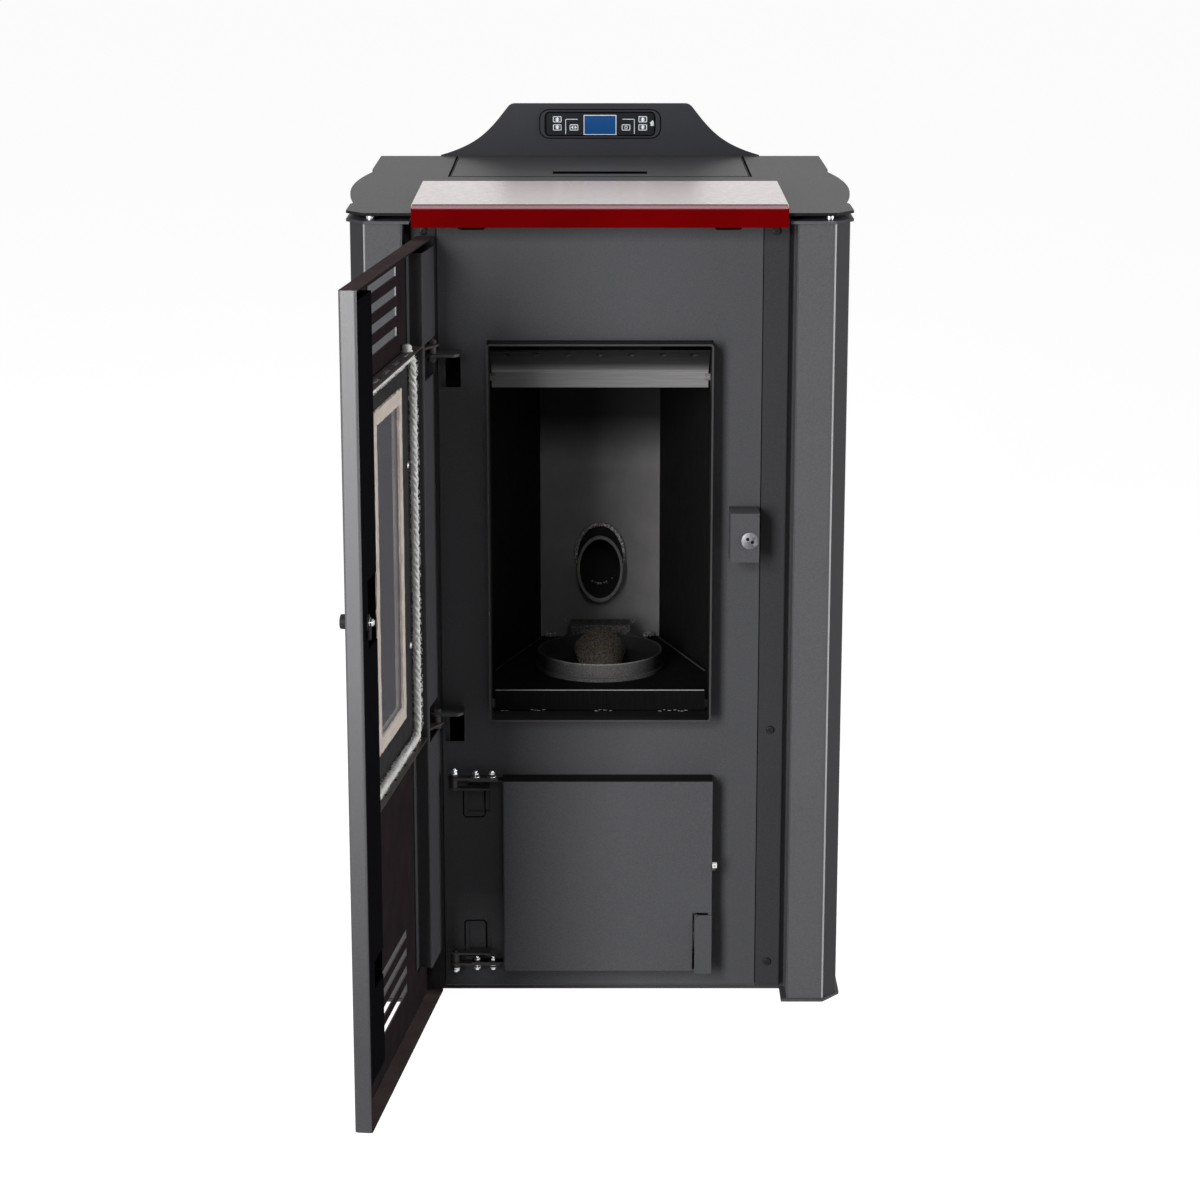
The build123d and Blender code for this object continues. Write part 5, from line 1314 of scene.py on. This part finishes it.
@dataclass(frozen=True)
class OpenDoor:
    """Where a point of the shut main door comes to when the door rests open."""

    swing: float = -97.5
    pin: Point = (-183 * MM, -285.2 * MM, 0.0)
    inner_y: float = -284.8 * MM

    def hang(self, piece: Piece) -> None:
        """Turns a piece that was modelled on the shut door to where the door rests."""
        pin = Matrix.Translation(self.pin)
        turn = Matrix.Rotation(math.radians(self.swing), 4, "Z")
        piece.data.transform(pin @ turn @ pin.inverted())

    def at(self, s: float, z: float, depth: float) -> Vector:
        """Returns a point of the shut door, by how far it lies in front of the inner plane."""
        return Vector((s, self.inner_y - depth, z))


def rounded_loop(
    half: float, low: float, high: float, corner: float, step: float
) -> list[tuple[Vector, Vector]]:
    """Walks round an upright rectangle with round corners.

    Args:
        half: half its width.
        low: the height of its lower side.
        high: the height of its upper side.
        corner: the radius of its corners.
        step: the distance between points.

    Returns:
        Points and their outward directions, in the X-Z plane.
    """
    knots: list[tuple[Vector, Vector]] = []
    centres = (
        (half - corner, low + corner, -90),
        (half - corner, high - corner, 0),
        (-half + corner, high - corner, 90),
        (-half + corner, low + corner, 180),
    )
    turns = 8
    for x, z, start in centres:
        for index in range(turns + 1):
            angle = math.radians(start + 90 * index / turns)
            out = Vector((math.cos(angle), 0, math.sin(angle)))
            knots.append((Vector((x, 0, z)) + out * corner, out))
    walk: list[tuple[Vector, Vector]] = []
    for (here, out), (there, out_next) in zip(knots, knots[1:] + knots[:1]):
        count = max(1, round((there - here).length / step))
        for index in range(count):
            share = index / count
            walk.append((here.lerp(there, share), out.lerp(out_next, share).normalized()))
    return walk


@dataclass
class DoorSeals:
    """The white rope round the door's window and the beige tape behind its glass."""

    stove: Stove
    door: OpenDoor = OpenDoor()
    rope_half: float = 123 * MM
    rope_low: float = 334 * MM
    rope_high: float = 758.4 * MM
    rope_corner: float = 14 * MM
    rope_depth: float = 10.1 * MM
    strands: int = 3
    strand_width: float = 4.9 * MM
    lay: float = 2.0 * MM
    pitch: float = 24 * MM
    rope_step: float = 2.2 * MM
    fibres: int = 4200
    tape_half: float = 58.5 * MM
    tape_low: float = 383 * MM
    tape_high: float = 715 * MM
    tape_width: float = 15 * MM
    tape_depth: float = 14.2 * MM
    tape_thickness: float = 2.6 * MM
    screw_x: float = 108 * MM
    screw_heights: tuple[float, ...] = (440 * MM, 640 * MM)
    screw_depth: float = 15.4 * MM
    dome_place: Point = (-96 * MM, 765.6 * MM, 11 * MM)
    latch_nut_place: Point = (187 * MM, 542 * MM, -3 * MM)

    def rope(self) -> None:
        """Lays the rope from strands and adds its fluff."""
        walk = rounded_loop(
            self.rope_half, self.rope_low, self.rope_high, self.rope_corner, self.rope_step
        )
        count = len(walk)
        turns = round(count * self.rope_step / self.pitch)
        away = Vector(FRONT)
        base = self.door.at(0, 0, self.rope_depth)
        strands: list[list[Point]] = []
        for strand in range(self.strands):
            line: list[Point] = []
            for index, (point, out) in enumerate(walk):
                angle = 2 * math.pi * (strand / self.strands + turns * index / count)
                reach = self.lay * (1 + random.uniform(-0.12, 0.12))
                offset = (out * math.cos(angle) + away * math.sin(angle)) * reach
                line.append(tuple(base + point + offset))
            strands.append(line + line[:1])
        rope = Bench.strokes(
            "rope_strands",
            strands,
            self.strand_width,
            lambda index: 0.92 + 0.1 * math.sin(index * 1.9) * math.sin(index * 0.37),
            2,
        )
        fluff: list[list[Point]] = []
        for _ in range(self.fibres):
            point, out = random.choice(walk)
            angle = random.uniform(0, 2 * math.pi)
            aim = out * math.cos(angle) + away * math.sin(angle)
            along = Vector((out.z, 0, -out.x)) * random.uniform(-1, 1)
            start = base + point + aim * 3.8 * MM
            length = random.uniform(0.8, 3.0) * MM
            middle = start + aim * length * 0.6 + along * length * 0.5
            end = start + aim * length * 0.7 + along * length * 1.6
            fluff.append([tuple(start - aim * 1.2 * MM), tuple(middle), tuple(end)])
        fibres = Bench.strokes("rope_fluff", fluff, 0.42 * MM, fineness=0)
        Bench.smooth(rope, 60)
        piece = Bench.join("door_rope", [rope, fibres])
        self.door.hang(piece)
        self.stove.enter(piece, Body.MAIN_DOOR, Slot.ROPE, stands_for=["rope_gasket"])

    def tape(self) -> None:
        """Cuts the woven tape as a mitred frame and frays its edges."""
        wide = 2 * (self.tape_half + self.tape_width)
        tall = self.tape_high - self.tape_low + 2 * self.tape_width
        bpy.ops.object.select_all(action="DESELECT")
        bpy.ops.mesh.primitive_plane_add(size=1.0, rotation=(math.radians(90), 0, 0))
        piece = Bench.fresh("glass_tape")
        piece.scale = (wide, tall, 1.0)
        piece.location = self.door.at(0, (self.tape_low + self.tape_high) / 2, self.tape_depth)
        Bench.settle(piece)
        Bench.pick_faces(piece, lambda place, normal: True)
        bpy.ops.mesh.inset(thickness=self.tape_width, depth=0)
        bpy.ops.mesh.delete(type="FACE")
        Bench.roughen(piece, 48, 0.25)
        Bench.finish_with(piece, "SOLIDIFY", thickness=self.tape_thickness, offset=0)
        Bench.smooth(piece, 40)
        threads: list[list[Point]] = []
        base = self.door.at(0, 0, self.tape_depth)
        for side, margin in zip(SIDES, (0.0, self.tape_width)):
            half = self.tape_half + margin
            low, high = self.tape_low - margin, self.tape_high + margin
            for point, out in rounded_loop(half, low, high, 1 * MM, 2 * MM):
                start = base + point - out * side * 0.5 * MM
                lean = Vector((out.z, 0, -out.x)) * random.uniform(-0.8, 0.8)
                tip = start + (out * side + lean) * random.uniform(0.6, 1.5) * MM
                threads.append([tuple(start), tuple(tip)])
        fray = Bench.strokes("tape_fray", threads, 0.4 * MM, fineness=0)
        piece = Bench.join("glass_tape", [piece, fray])
        self.door.hang(piece)
        self.stove.enter(piece, Body.MAIN_DOOR, Slot.TAPE, stands_for=["glass_gasket"])

    def clamp_screws(self) -> None:
        """Sets the screws that clamp the window, between its tape and the rope."""
        screw = ButtonScrew(3.9 * MM, 2.6 * MM, 1.7 * MM)
        places = [
            facing(tuple(self.door.at(side * self.screw_x, height, self.screw_depth)), REAR)
            for side in SIDES
            for height in self.screw_heights
        ]
        piece = screw.row("window_screws", places)
        self.door.hang(piece)
        self.stove.enter(piece, Body.MAIN_DOOR, Slot.ZINC)

    def inner_bolts(self) -> None:
        """Adds the domed nut on the upper shelf and the nut on the latch's shaft."""
        dome = Bench.cylinder("shelf_dome", 5.6 * MM, 8 * MM, 32)
        Bench.round_edges(dome, 4.6 * MM, 6, 60)
        base = Bench.cylinder("shelf_dome_base", 6.4 * MM, 1.2 * MM, 32)
        Bench.round_edges(base, 0.3 * MM)
        piece = Bench.join("shelf_dome", [dome, base])
        Bench.smooth(piece, 50)
        piece.data.transform(Matrix.Translation(self.door.at(*self.dome_place)))
        self.door.hang(piece)
        self.stove.enter(piece, Body.MAIN_DOOR, Slot.ZINC, NYLON)
        place = facing(tuple(self.door.at(*self.latch_nut_place)), REAR, 15)
        nut = HexNut(8.4 * MM, 3.2 * MM, 5.2 * MM, 1.2 * MM).row("latch_nut", [place])
        self.door.hang(nut)
        self.stove.enter(nut, Body.LATCH, Slot.ZINC)

    def build(self) -> None:
        """Builds the door's seals."""
        self.rope()
        self.tape()
        self.clamp_screws()
        self.inner_bolts()


@dataclass
class PanelMarks:
    """The pale marks, dark film and groove of the control panel.

    The places of the keys and the plans of the marks are in millimetres.
    """

    stove: Stove
    face_y: float = 292.5 * MM
    key_rise: float = 1.2 * MM
    film: float = 0.12 * MM
    line: float = 0.85 * MM
    window_half: float = 67.8 * MM
    window_rise: float = 14.3 * MM
    window_z: float = 943.0 * MM
    groove_width: float = 1.9 * MM
    screen_lines: tuple[tuple[float, ...], ...] = ((20.5, 929.3, 954.0), (19.6, 930.0, 953.1))
    keys: dict[Body, tuple[float, float, str]] = field(
        default_factory=lambda: {
            Body.KEY_UP_LEFT: (-53.6, 948.7, "up"),
            Body.KEY_DOWN_LEFT: (-53.6, 938.6, "down"),
            Body.KEY_SET: (-32.6, 938.6, "set"),
            Body.KEY_POWER: (32.6, 938.6, "power"),
            Body.KEY_UP_RIGHT: (53.6, 948.7, "up"),
            Body.KEY_DOWN_RIGHT: (53.6, 938.6, "down"),
        }
    )
    arrow: tuple[tuple[float, float], ...] = (
        (-2.9, 0.0), (0, 2.6), (2.9, 0.0), (1.2, 0.0), (1.2, -0.7), (2.9, -0.7), (1.2, -2.0),
        (1.2, -2.6), (-1.2, -2.6), (-1.2, -2.0), (-2.9, -0.7), (-1.2, -0.7), (-1.2, 0.0),
    )
    bracket: tuple[tuple[float, float], ...] = (
        (28.0, 949.0), (42.4, 949.0), (43.4, 948.0), (43.4, 930.5),
        (42.7, 930.5), (42.7, 947.7), (42.1, 948.3), (28.0, 948.3),
    )
    house: tuple[tuple[float, float], ...] = (
        (62.2, 943.8), (65.8, 947.4), (69.4, 943.8), (68.2, 943.8),
        (68.2, 940.4), (63.4, 940.4), (63.4, 943.8),
    )

    @staticmethod
    def plan(points: Iterable[tuple[float, float]], x_way: int = 1, z_way: int = 1) -> Outline:
        """Turns a plan in millimetres into an outline in metres.

        Args:
            points: the plan's X and Z.
            x_way: -1 to mirror it sideways.
            z_way: -1 to turn it upside down.

        Returns:
            The outline.
        """
        return [(x_way * x * MM, z_way * z * MM) for x, z in points]

    def ring(self, half: float, rise: float, corner: float) -> list[Outline]:
        """Returns the two outlines of a rounded border of the line's width."""
        rings = []
        for inset in (0.0, self.line):
            walk = rounded_loop(
                half - inset, -rise + inset, rise - inset, max(corner - inset, 0.1 * MM), 1.0
            )
            rings.append([(point.x, point.z) for point, _ in walk])
        return rings

    def symbol(self, kind: str) -> list[Outline]:
        """Returns the outlines of a key's symbol."""
        if kind in ("up", "down"):
            return [self.plan(self.arrow, z_way=1 if kind == "up" else -1)]
        if kind == "set":
            return [self.plan(((3.9, 0), (0.8, 2.2), (0.8, -2.2)), side) for side in SIDES]
        arc = [math.radians(120 + 30 * index) for index in range(11)]
        outer, inner = (
            [(radius * MM * math.cos(angle), radius * MM * math.sin(angle)) for angle in arc]
            for radius in (2.1, 1.4)
        )
        bar = self.plan(((-0.35, 0.4), (0.35, 0.4), (0.35, 2.7), (-0.35, 2.7)))
        return [outer + inner[::-1], bar]

    def key_marks(self) -> None:
        """Prints a border and a symbol on each key."""
        for body, (x, z, kind) in self.keys.items():
            shapes = self.ring(5.3 * MM, 3.7 * MM, 1.2 * MM) + self.symbol(kind)
            piece = Bench.stamp(f"mark_{body.value}", shapes, self.film)
            front = self.face_y - self.key_rise
            piece.data.transform(Matrix.Translation((x * MM, front, z * MM)))
            self.stove.enter(piece, body, Slot.KEYS, PALE_INK)

    def panel_lines(self) -> None:
        """Prints the lines round the screen, the brackets and the room symbol."""
        screen = [
            self.plan(((half, low), (half, high), (-half, high), (-half, low)))
            for half, low, high in self.screen_lines
        ]
        brackets = [self.plan(self.bracket, side) for side in SIDES]
        piece = Bench.stamp("panel_lines", screen + brackets + [self.plan(self.house)], self.film)
        piece.data.transform(Matrix.Translation((0, self.face_y - self.film, 0)))
        self.stove.enter(piece, Body.STOVE, Slot.PLASTIC, PALE_INK)

    def panel_film(self) -> None:
        """Lays the dark film on the floor of the window, cut out for keys and screen."""
        outer = rounded_loop(
            self.window_half,
            self.window_z - self.window_rise,
            self.window_z + self.window_rise,
            4 * MM,
            1.0,
        )
        shapes = [[(point.x, point.z) for point, _ in outer]]
        holes = [(x, z, 6.2, 4.5) for x, z, _ in self.keys.values()] + [(0, 941.5, 19.5, 11.5)]
        corners = ((1, -1), (1, 1), (-1, 1), (-1, -1))
        for x, z, half, rise in holes:
            shapes.append(self.plan((x + a * half, z + b * rise) for a, b in corners))
        piece = Bench.stamp("panel_film", shapes, self.film)
        piece.data.transform(Matrix.Translation((0, self.face_y, 0)))
        self.stove.enter(piece, Body.STOVE, Slot.PLASTIC, PANEL_FILM)

    def window_groove(self) -> None:
        """Draws the groove round the display's window as raised black beads of painted shade."""
        lines = []
        for half, low, high, corner, rise in (
            (75.4 * MM, 925.5 * MM, 960.5 * MM, 11.5 * MM, 0.9 * MM),
            (68.2 * MM, 928.4 * MM, 957.6 * MM, 4.5 * MM, 1.1 * MM),
        ):
            walk = rounded_loop(half, low, high, corner, 2 * MM)
            line = [(point.x, self.face_y - rise, point.z) for point, _ in walk]
            lines.append(line + line[:1])
        piece = Bench.strokes("window_groove", lines, self.groove_width)
        Bench.smooth(piece, 60)
        self.stove.enter(piece, Body.STOVE, Slot.PLASTIC, SEAM_AND_SHADE_BLACK)

    def build(self) -> None:
        """Builds the marks."""
        self.panel_film()
        self.key_marks()
        self.panel_lines()
        self.window_groove()


@dataclass
class Hearth:
    """Weld beads, edges with painted highlights, the pot's rim, slag and the igniter's shroud
    inside the firebox.

    The lumps' height and the points of the seams are in millimetres.
    """

    stove: Stove
    back_y: float = 39.4 * MM
    tube_z: float = 448.3 * MM
    tube_half: float = 28.6 * MM
    tube_rise: float = 37.4 * MM
    lump_z: float = 348.5
    shroud_reach: float = 127 * MM
    shroud_half: float = 34 * MM
    shroud_tip: float = 14 * MM
    shroud_axis: float = 347 * MM
    shroud_floor: float = 349.3 * MM
    pot_radius: float = 72.0 * MM
    seam_z: float = 349 * MM
    seam_points: tuple[tuple[float, float], ...] = ((72.3, 17.4), (96.0, -52.5), (122.0, -131.0))

    def tube_weld(self) -> None:
        """Lays the lumpy weld round the drop tube."""
        count = 110
        line: list[Point] = []
        for index in range(count):
            angle = 2 * math.pi * index / count
            line.append(
                (
                    self.tube_half * math.cos(angle) + random.uniform(-0.5, 0.5) * MM,
                    self.back_y + random.uniform(-0.5, 0.3) * MM,
                    self.tube_z + self.tube_rise * math.sin(angle),
                )
            )
        piece = Bench.strokes(
            "tube_weld",
            [line + line[:1]],
            5.2 * MM,
            lambda index: 0.8 + 0.3 * math.sin(index * 1.3) ** 2 + random.uniform(-0.1, 0.1),
            3,
        )
        Bench.smooth(piece, 70)
        self.stove.enter(piece, Body.STOVE, Slot.IRON, WELD)

    def tube_rim_light(self) -> None:
        """Paints light on the cut end of the drop tube as a thin pale ring over its front-facing
        faces.
        """
        rim = self.stove.copy_of("drop_tube", "tube_rim_light")
        Bench.pick_faces(rim, lambda place, normal: normal.y > -0.93)
        bpy.ops.mesh.delete(type="FACE")
        Bench.leave_edit()
        Bench.finish_with(rim, "SOLIDIFY", thickness=0.5 * MM, offset=1.0)
        self.stove.enter(rim, Body.STOVE, Slot.FIREBOX, TUBE_RIM_LIGHT)

    def corner_welds(self) -> None:
        """Leaves weld lumps in the rear corners of the floor and a whisker at the block."""
        low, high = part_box("igniter_block")
        lumps = [
            [
                (side * (54 + 1.7 * index) * MM, self.back_y - (9 - index) * MM,
                 (self.lump_z + random.uniform(-0.8, 1.6)) * MM)
                for index in range(8)
            ]
            for side in SIDES
        ]
        beads = Bench.strokes(
            "corner_welds", lumps, 6.5 * MM, lambda index: random.uniform(0.6, 1.15), 3
        )
        lines = [
            [(side * (high.x + out * MM), low.y + 9 * MM, high.z + up * MM)
             for out, up in ((3, 1), (7, 6))]
            for side in SIDES
        ]
        whiskers = Bench.strokes("whiskers", lines, 0.9 * MM)
        piece = Bench.join("corner_welds", [beads, whiskers])
        Bench.smooth(piece, 70)
        self.stove.enter(piece, Body.STOVE, Slot.IRON, WELD)

    def shroud(self) -> None:
        """Shapes the rusty ridge that runs from the igniter down into the burn pot."""
        _, pot_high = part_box("burn_pot")
        block_low, block_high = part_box("igniter_block")
        tip, root = pot_high.y - self.shroud_reach, block_low.y - 0.8 * MM
        height = block_high.z - self.lump_z * MM
        bpy.ops.object.select_all(action="DESELECT")
        bpy.ops.mesh.primitive_cone_add(
            vertices=64,
            radius1=height,
            radius2=self.shroud_tip,
            depth=root - tip,
            location=(0, (root + tip) / 2, self.shroud_axis),
            rotation=(math.radians(90), 0, 0),
        )
        piece = Bench.fresh("igniter_shroud")
        piece.scale = (self.shroud_half / height, 1.0, 1.0)
        Bench.settle(piece)
        Bench.pick_faces(piece, lambda place, normal: True)
        bpy.ops.mesh.bisect(
            plane_co=(0, 0, self.shroud_floor), plane_no=UP, clear_inner=True, use_fill=True
        )
        Bench.roughen(piece, 3, 0.2)
        Bench.smooth(piece, 60)
        self.stove.enter(piece, Body.POT, Slot.IRON, RUSTY_IRON)

    def pot_rim(self) -> None:
        """Lays a rim round the pot, pale at the front and dark behind, and draws the floor's
        welded seams.
        """
        low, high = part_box("burn_pot")
        centre = (low.y + high.y) / 2
        count = 120
        ring: list[Point] = []
        for index in range(count):
            angle = 2 * math.pi * index / count
            reach = self.pot_radius + random.uniform(-0.3, 0.3) * MM
            ring.append((reach * math.cos(angle), centre + reach * math.sin(angle), high.z))
        rim = Bench.strokes(
            "pot_rim", [ring + ring[:1]], 2.4 * MM, lambda index: random.uniform(0.7, 1.1), 2
        )
        Bench.smooth(rim, 70)
        self.stove.enter(rim, Body.POT, Slot.IRON, RIM_IRON)
        seams = [
            [(side * x * MM, y * MM, self.seam_z) for x, y in self.seam_points] for side in SIDES
        ]
        seam = Bench.strokes("floor_seams", seams, 2.2 * MM, fineness=2)
        self.stove.enter(seam, Body.STOVE, Slot.FIREBOX, DIM_SEAM)

    def lip_edge(self) -> None:
        """Paints a highlight along the upper edge of the ash lip and leaves pale slag below it."""
        low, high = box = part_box("ash_lip")
        edge = [across(box, low.y + 0.5 * MM, high.z - 0.2 * MM)]
        slag: list[list[Point]] = []
        for start, end in ((-78, -61), (-6, 13), (66, 100), (-112, -104)):
            x = float(start)
            while x < end:
                reach = random.uniform(1.5, 5.0)
                height = low.z + random.uniform(0.4, 2.0) * MM
                slag.append(
                    [(x * MM, low.y - 0.1 * MM, height),
                     ((x + reach) * MM, low.y - 0.2 * MM, height + random.uniform(-0.4, 0.4) * MM)]
                )
                x += reach + random.uniform(0.5, 3.0)
        piece = Bench.join(
            "lip_edge",
            [
                Bench.strokes("lip_edge_highlight", edge, 1.3 * MM, fineness=3),
                Bench.strokes("lip_slag", slag, 0.9 * MM, lambda index: 1 - 0.5 * index),
            ],
        )
        Bench.smooth(piece, 60)
        self.stove.enter(piece, Body.STOVE, Slot.FIREBOX, FOLD_HIGHLIGHT)

    def build(self) -> None:
        """Builds the hearth's pieces."""
        self.lip_edge()
        self.pot_rim()
        self.tube_weld()
        self.tube_rim_light()
        self.corner_welds()
        self.shroud()


@dataclass
class Hardware:
    """Bolts, nuts and small parts of the doors and of the keeper."""

    stove: Stove
    arm_y: float = -276.5 * MM
    bolt_x: tuple[float, ...] = (-140.7 * MM, -122.4 * MM)
    bolt_rows: tuple[tuple[float, Point], ...] = (
        (264.5 * MM, UP), (43 * MM, UP), (40.5 * MM, DOWN)
    )
    pin_x: float = -165 * MM
    pin_rows: tuple[tuple[float, Point, float], ...] = (
        (268.2 * MM, UP, 10), (36.8 * MM, DOWN, 40)
    )
    plate_heights: tuple[tuple[float, float], ...] = ((206 * MM, 252 * MM), (42 * MM, 92 * MM))
    cuts: tuple[Point, ...] = (
        (-142.9 * MM, 212.5 * MM, 248.5 * MM), (-142.8 * MM, 45 * MM, 88 * MM)
    )
    cut_half: float = 12.2 * MM
    cut_y: float = -262.6 * MM
    washer_x: float = 165 * MM
    washer_z: float = 543.5 * MM
    roller_place: Point = (129.8 * MM, -286.5 * MM, 164 * MM)

    def ash_hinge_nuts(self) -> None:
        """Puts nuts over and under the ash door's arms and on their pins."""
        places = [
            facing((x, self.arm_y, height), way, 25 * index)
            for height, way in self.bolt_rows
            for index, x in enumerate(self.bolt_x)
        ]
        piece = HexNut().row("ash_arm_nuts", places)
        self.stove.enter(piece, Body.ASH_DOOR, Slot.ZINC)
        pins = [
            facing((self.pin_x, self.arm_y, height), way, turn)
            for height, way, turn in self.pin_rows
        ]
        caps = HexNut(stub=1.2 * MM).row("ash_pin_nuts", pins)
        self.stove.enter(caps, Body.STOVE, Slot.ZINC)

    def hinge_windows(self) -> None:
        """Closes the lanced windows beside the ash door from behind."""
        plates = []
        for low_z, high_z in self.plate_heights:
            plate = Bench.block(
                "window_plate", (-162 * MM, -259.9 * MM, low_z), (-124 * MM, -258.7 * MM, high_z)
            )
            Bench.pick_faces(plate, lambda place, normal: normal.y < -0.5)
            bpy.ops.mesh.inset(thickness=10 * MM, depth=0)
            bpy.ops.transform.translate(value=(0, -1 * MM, 0))
            Bench.leave_edit()
            Bench.round_edges(plate, 0.3 * MM)
            plates.append(plate)
        piece = Bench.join("hinge_window_plates", plates)
        Bench.smooth(piece)
        self.stove.enter(piece, Body.STOVE, Slot.GRAPHITE)

    def window_outlines(self) -> None:
        """Draws the cut round the lanced windows as black lines of painted shade."""
        lines = []
        for x, low_z, high_z in self.cuts:
            walk = rounded_loop(self.cut_half, low_z, high_z, 4 * MM, 3 * MM)
            line = [(x + point.x, self.cut_y, point.z) for point, _ in walk]
            lines.append(line + line[:1])
        piece = Bench.strokes("window_outlines", lines, 1.5 * MM)
        self.stove.enter(piece, Body.STOVE, Slot.GRAPHITE, SEAM_AND_SHADE_BLACK)

    def keeper_washer(self) -> None:
        """Fits the bright washer on the latch keeper, with black dots of painted shade for its two
        holes.
        """
        low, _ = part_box("latch_keeper")
        disc = Bench.cylinder("keeper_washer", 9.4 * MM, 1.2 * MM, 48)
        Bench.round_edges(disc, 0.08 * MM)
        Bench.smooth(disc)
        disc.data.transform(facing((self.washer_x, low.y + 1.08 * MM, self.washer_z), FRONT))
        self.stove.enter(disc, Body.STOVE, Slot.ZINC, DULL_ZINC)
        dots = []
        for x, z in ((-2.6 * MM, 1.8 * MM), (2.6 * MM, -1.4 * MM)):
            dot = Bench.cylinder("keeper_dot", 1.9 * MM, 1.0 * MM, 24, (x, z, 0))
            Bench.round_edges(dot, 0.05 * MM, 1)
            dots.append(dot)
        holes = Bench.join("keeper_holes", dots)
        holes.data.transform(facing((self.washer_x, low.y + 0.82 * MM, self.washer_z), FRONT))
        self.stove.enter(holes, Body.STOVE, Slot.ZINC, SEAM_AND_SHADE_BLACK)

    def ash_catch(self) -> None:
        """Adds the white nylon roller of the ash door's catch."""
        roller = Bench.cylinder("catch_roller", 3.7 * MM, 7 * MM, 4)
        roller.data.transform(Matrix.Rotation(math.radians(45), 4, "Z"))
        Bench.round_edges(roller, 0.7 * MM, 3)
        groove = Bench.cylinder("catch_groove", 1.0 * MM, 10 * MM, 24, (0, 0, -1 * MM))
        Bench.drill(roller, groove)
        Bench.smooth(roller)
        roller.data.transform(facing(self.roller_place, FRONT))
        self.stove.enter(roller, Body.ASH_DOOR, Slot.ZINC, NYLON)

    def build(self) -> None:
        """Builds the hardware."""
        self.ash_hinge_nuts()
        self.hinge_windows()
        self.window_outlines()
        self.keeper_washer()
        self.ash_catch()


@dataclass
class Studio:
    """The floor, lamps, world and camera."""

    lens: float = 93.0
    camera_place: Point = (0.0, -3.6230, 1.3122)
    pitch: float = 14.12
    ambient: float = 0.02
    floor_size: float = 60.0
    floor_glow: float = 0.96
    floor_tone: float = 0.4
    lamps: dict[str, tuple[Point, Point, tuple[float, float], float]] = field(
        default_factory=lambda: {
            "left_strip": ((-1.62, -3.55, 1.3), (0.0, -0.3, 0.5), (0.95, 2.4), 150.0),
            "right_wing": ((2.3, -0.62, 0.95), (-0.25, -0.5, 0.6), (0.5, 1.7), 44.0),
            "front_high": ((0.25, -3.2, 2.05), (0.0, -0.1, 0.5), (0.5, 0.5), 6.0),
            "overhead": ((0.0, 0.2, 2.9), (0.0, 0.1, 0.9), (2.0, 1.6), 7.0),
        }
    )

    def camera(self) -> None:
        """Sets the camera at the picture's viewpoint."""
        data = bpy.data.cameras.new("camera")
        data.lens = self.lens
        data.sensor_width = 36.0
        data.clip_end = 100.0
        eye = Bench.link("camera", data)
        eye.location = self.camera_place
        eye.rotation_euler = (math.radians(90 - self.pitch), 0, 0)
        bpy.context.scene.camera = eye

    def lights(self) -> None:
        """Hangs the soft lamps."""
        for name, (place, target, size, power) in self.lamps.items():
            data = bpy.data.lights.new(name, "AREA")
            data.shape = "RECTANGLE"
            data.size, data.size_y = size
            data.energy = power
            lamp = Bench.link(name, data)
            lamp.location = place
            aim = Vector(target) - Vector(place)
            lamp.rotation_euler = aim.to_track_quat("-Z", "Y").to_euler()

    @staticmethod
    def seen(sheet: NodeSheet) -> Socket:
        """Gives 1 for rays from the camera, in reflections and through glass, and 0 for others.

        Args:
            sheet: the tree that it is added to.

        Returns:
            The value's socket.
        """
        rays = sheet.add("ShaderNodeLightPath").outputs
        straight = sheet.maths("MAXIMUM", rays["Is Camera Ray"], rays["Is Transmission Ray"])
        return sheet.maths("MAXIMUM", straight, rays["Is Glossy Ray"])

    def world(self) -> None:
        """Makes a world that looks white and lights softly."""
        world = bpy.data.worlds.new("studio")
        bpy.context.scene.world = world
        sheet = NodeSheet(world)
        strength = sheet.spread(self.seen(sheet), self.ambient, 1.0, 0.0, 1.0)
        white = {"Color": (1, 1, 1), "Strength": strength}
        background = sheet.add("ShaderNodeBackground", white)
        sheet.add("ShaderNodeOutputWorld", {"Surface": background.outputs[0]})

    def floor(self) -> None:
        """Lays a plain pale floor that keeps the stove's shadow."""
        bpy.ops.object.select_all(action="DESELECT")
        bpy.ops.mesh.primitive_plane_add(size=self.floor_size)
        floor = Bench.fresh("floor")
        sheet = NodeSheet(bpy.data.materials.new("floor"))
        diffuse = sheet.add("ShaderNodeBsdfDiffuse", {"Color": (self.floor_tone,) * 3})
        power = sheet.maths("MULTIPLY", self.seen(sheet), self.floor_glow)
        glow = sheet.add("ShaderNodeEmission", {"Color": (1, 1, 1), "Strength": power})
        both = sheet.add("ShaderNodeAddShader", {0: diffuse.outputs[0], 1: glow.outputs[0]})
        sheet.add("ShaderNodeOutputMaterial", {"Surface": both.outputs[0]})
        floor.data.materials.append(sheet.owner)

    def build(self) -> None:
        """Sets up the studio."""
        bpy.context.scene.view_settings.view_transform = "Standard"
        self.camera()
        self.lights()
        self.world()
        self.floor()


def main() -> None:
    """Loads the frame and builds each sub-assembly in order."""
    random.seed(SEED)
    logging.basicConfig(level=logging.INFO, format="%(name)s: %(message)s")
    for thing in list(bpy.data.objects):
        bpy.data.objects.remove(thing, do_unlink=True)
    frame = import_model()
    bpy.ops.object.select_all(action="DESELECT")
    Studio().build()
    stove = Stove(frame["nodes"])
    stove.dress_nodes()
    stove.dress_apart()
    for assembly in (Casing, DoorSeals, PanelMarks, Hearth, Hardware):
        assembly(stove).build()
    bpy.ops.object.select_all(action="DESELECT")


if __name__ == "__main__":
    main()
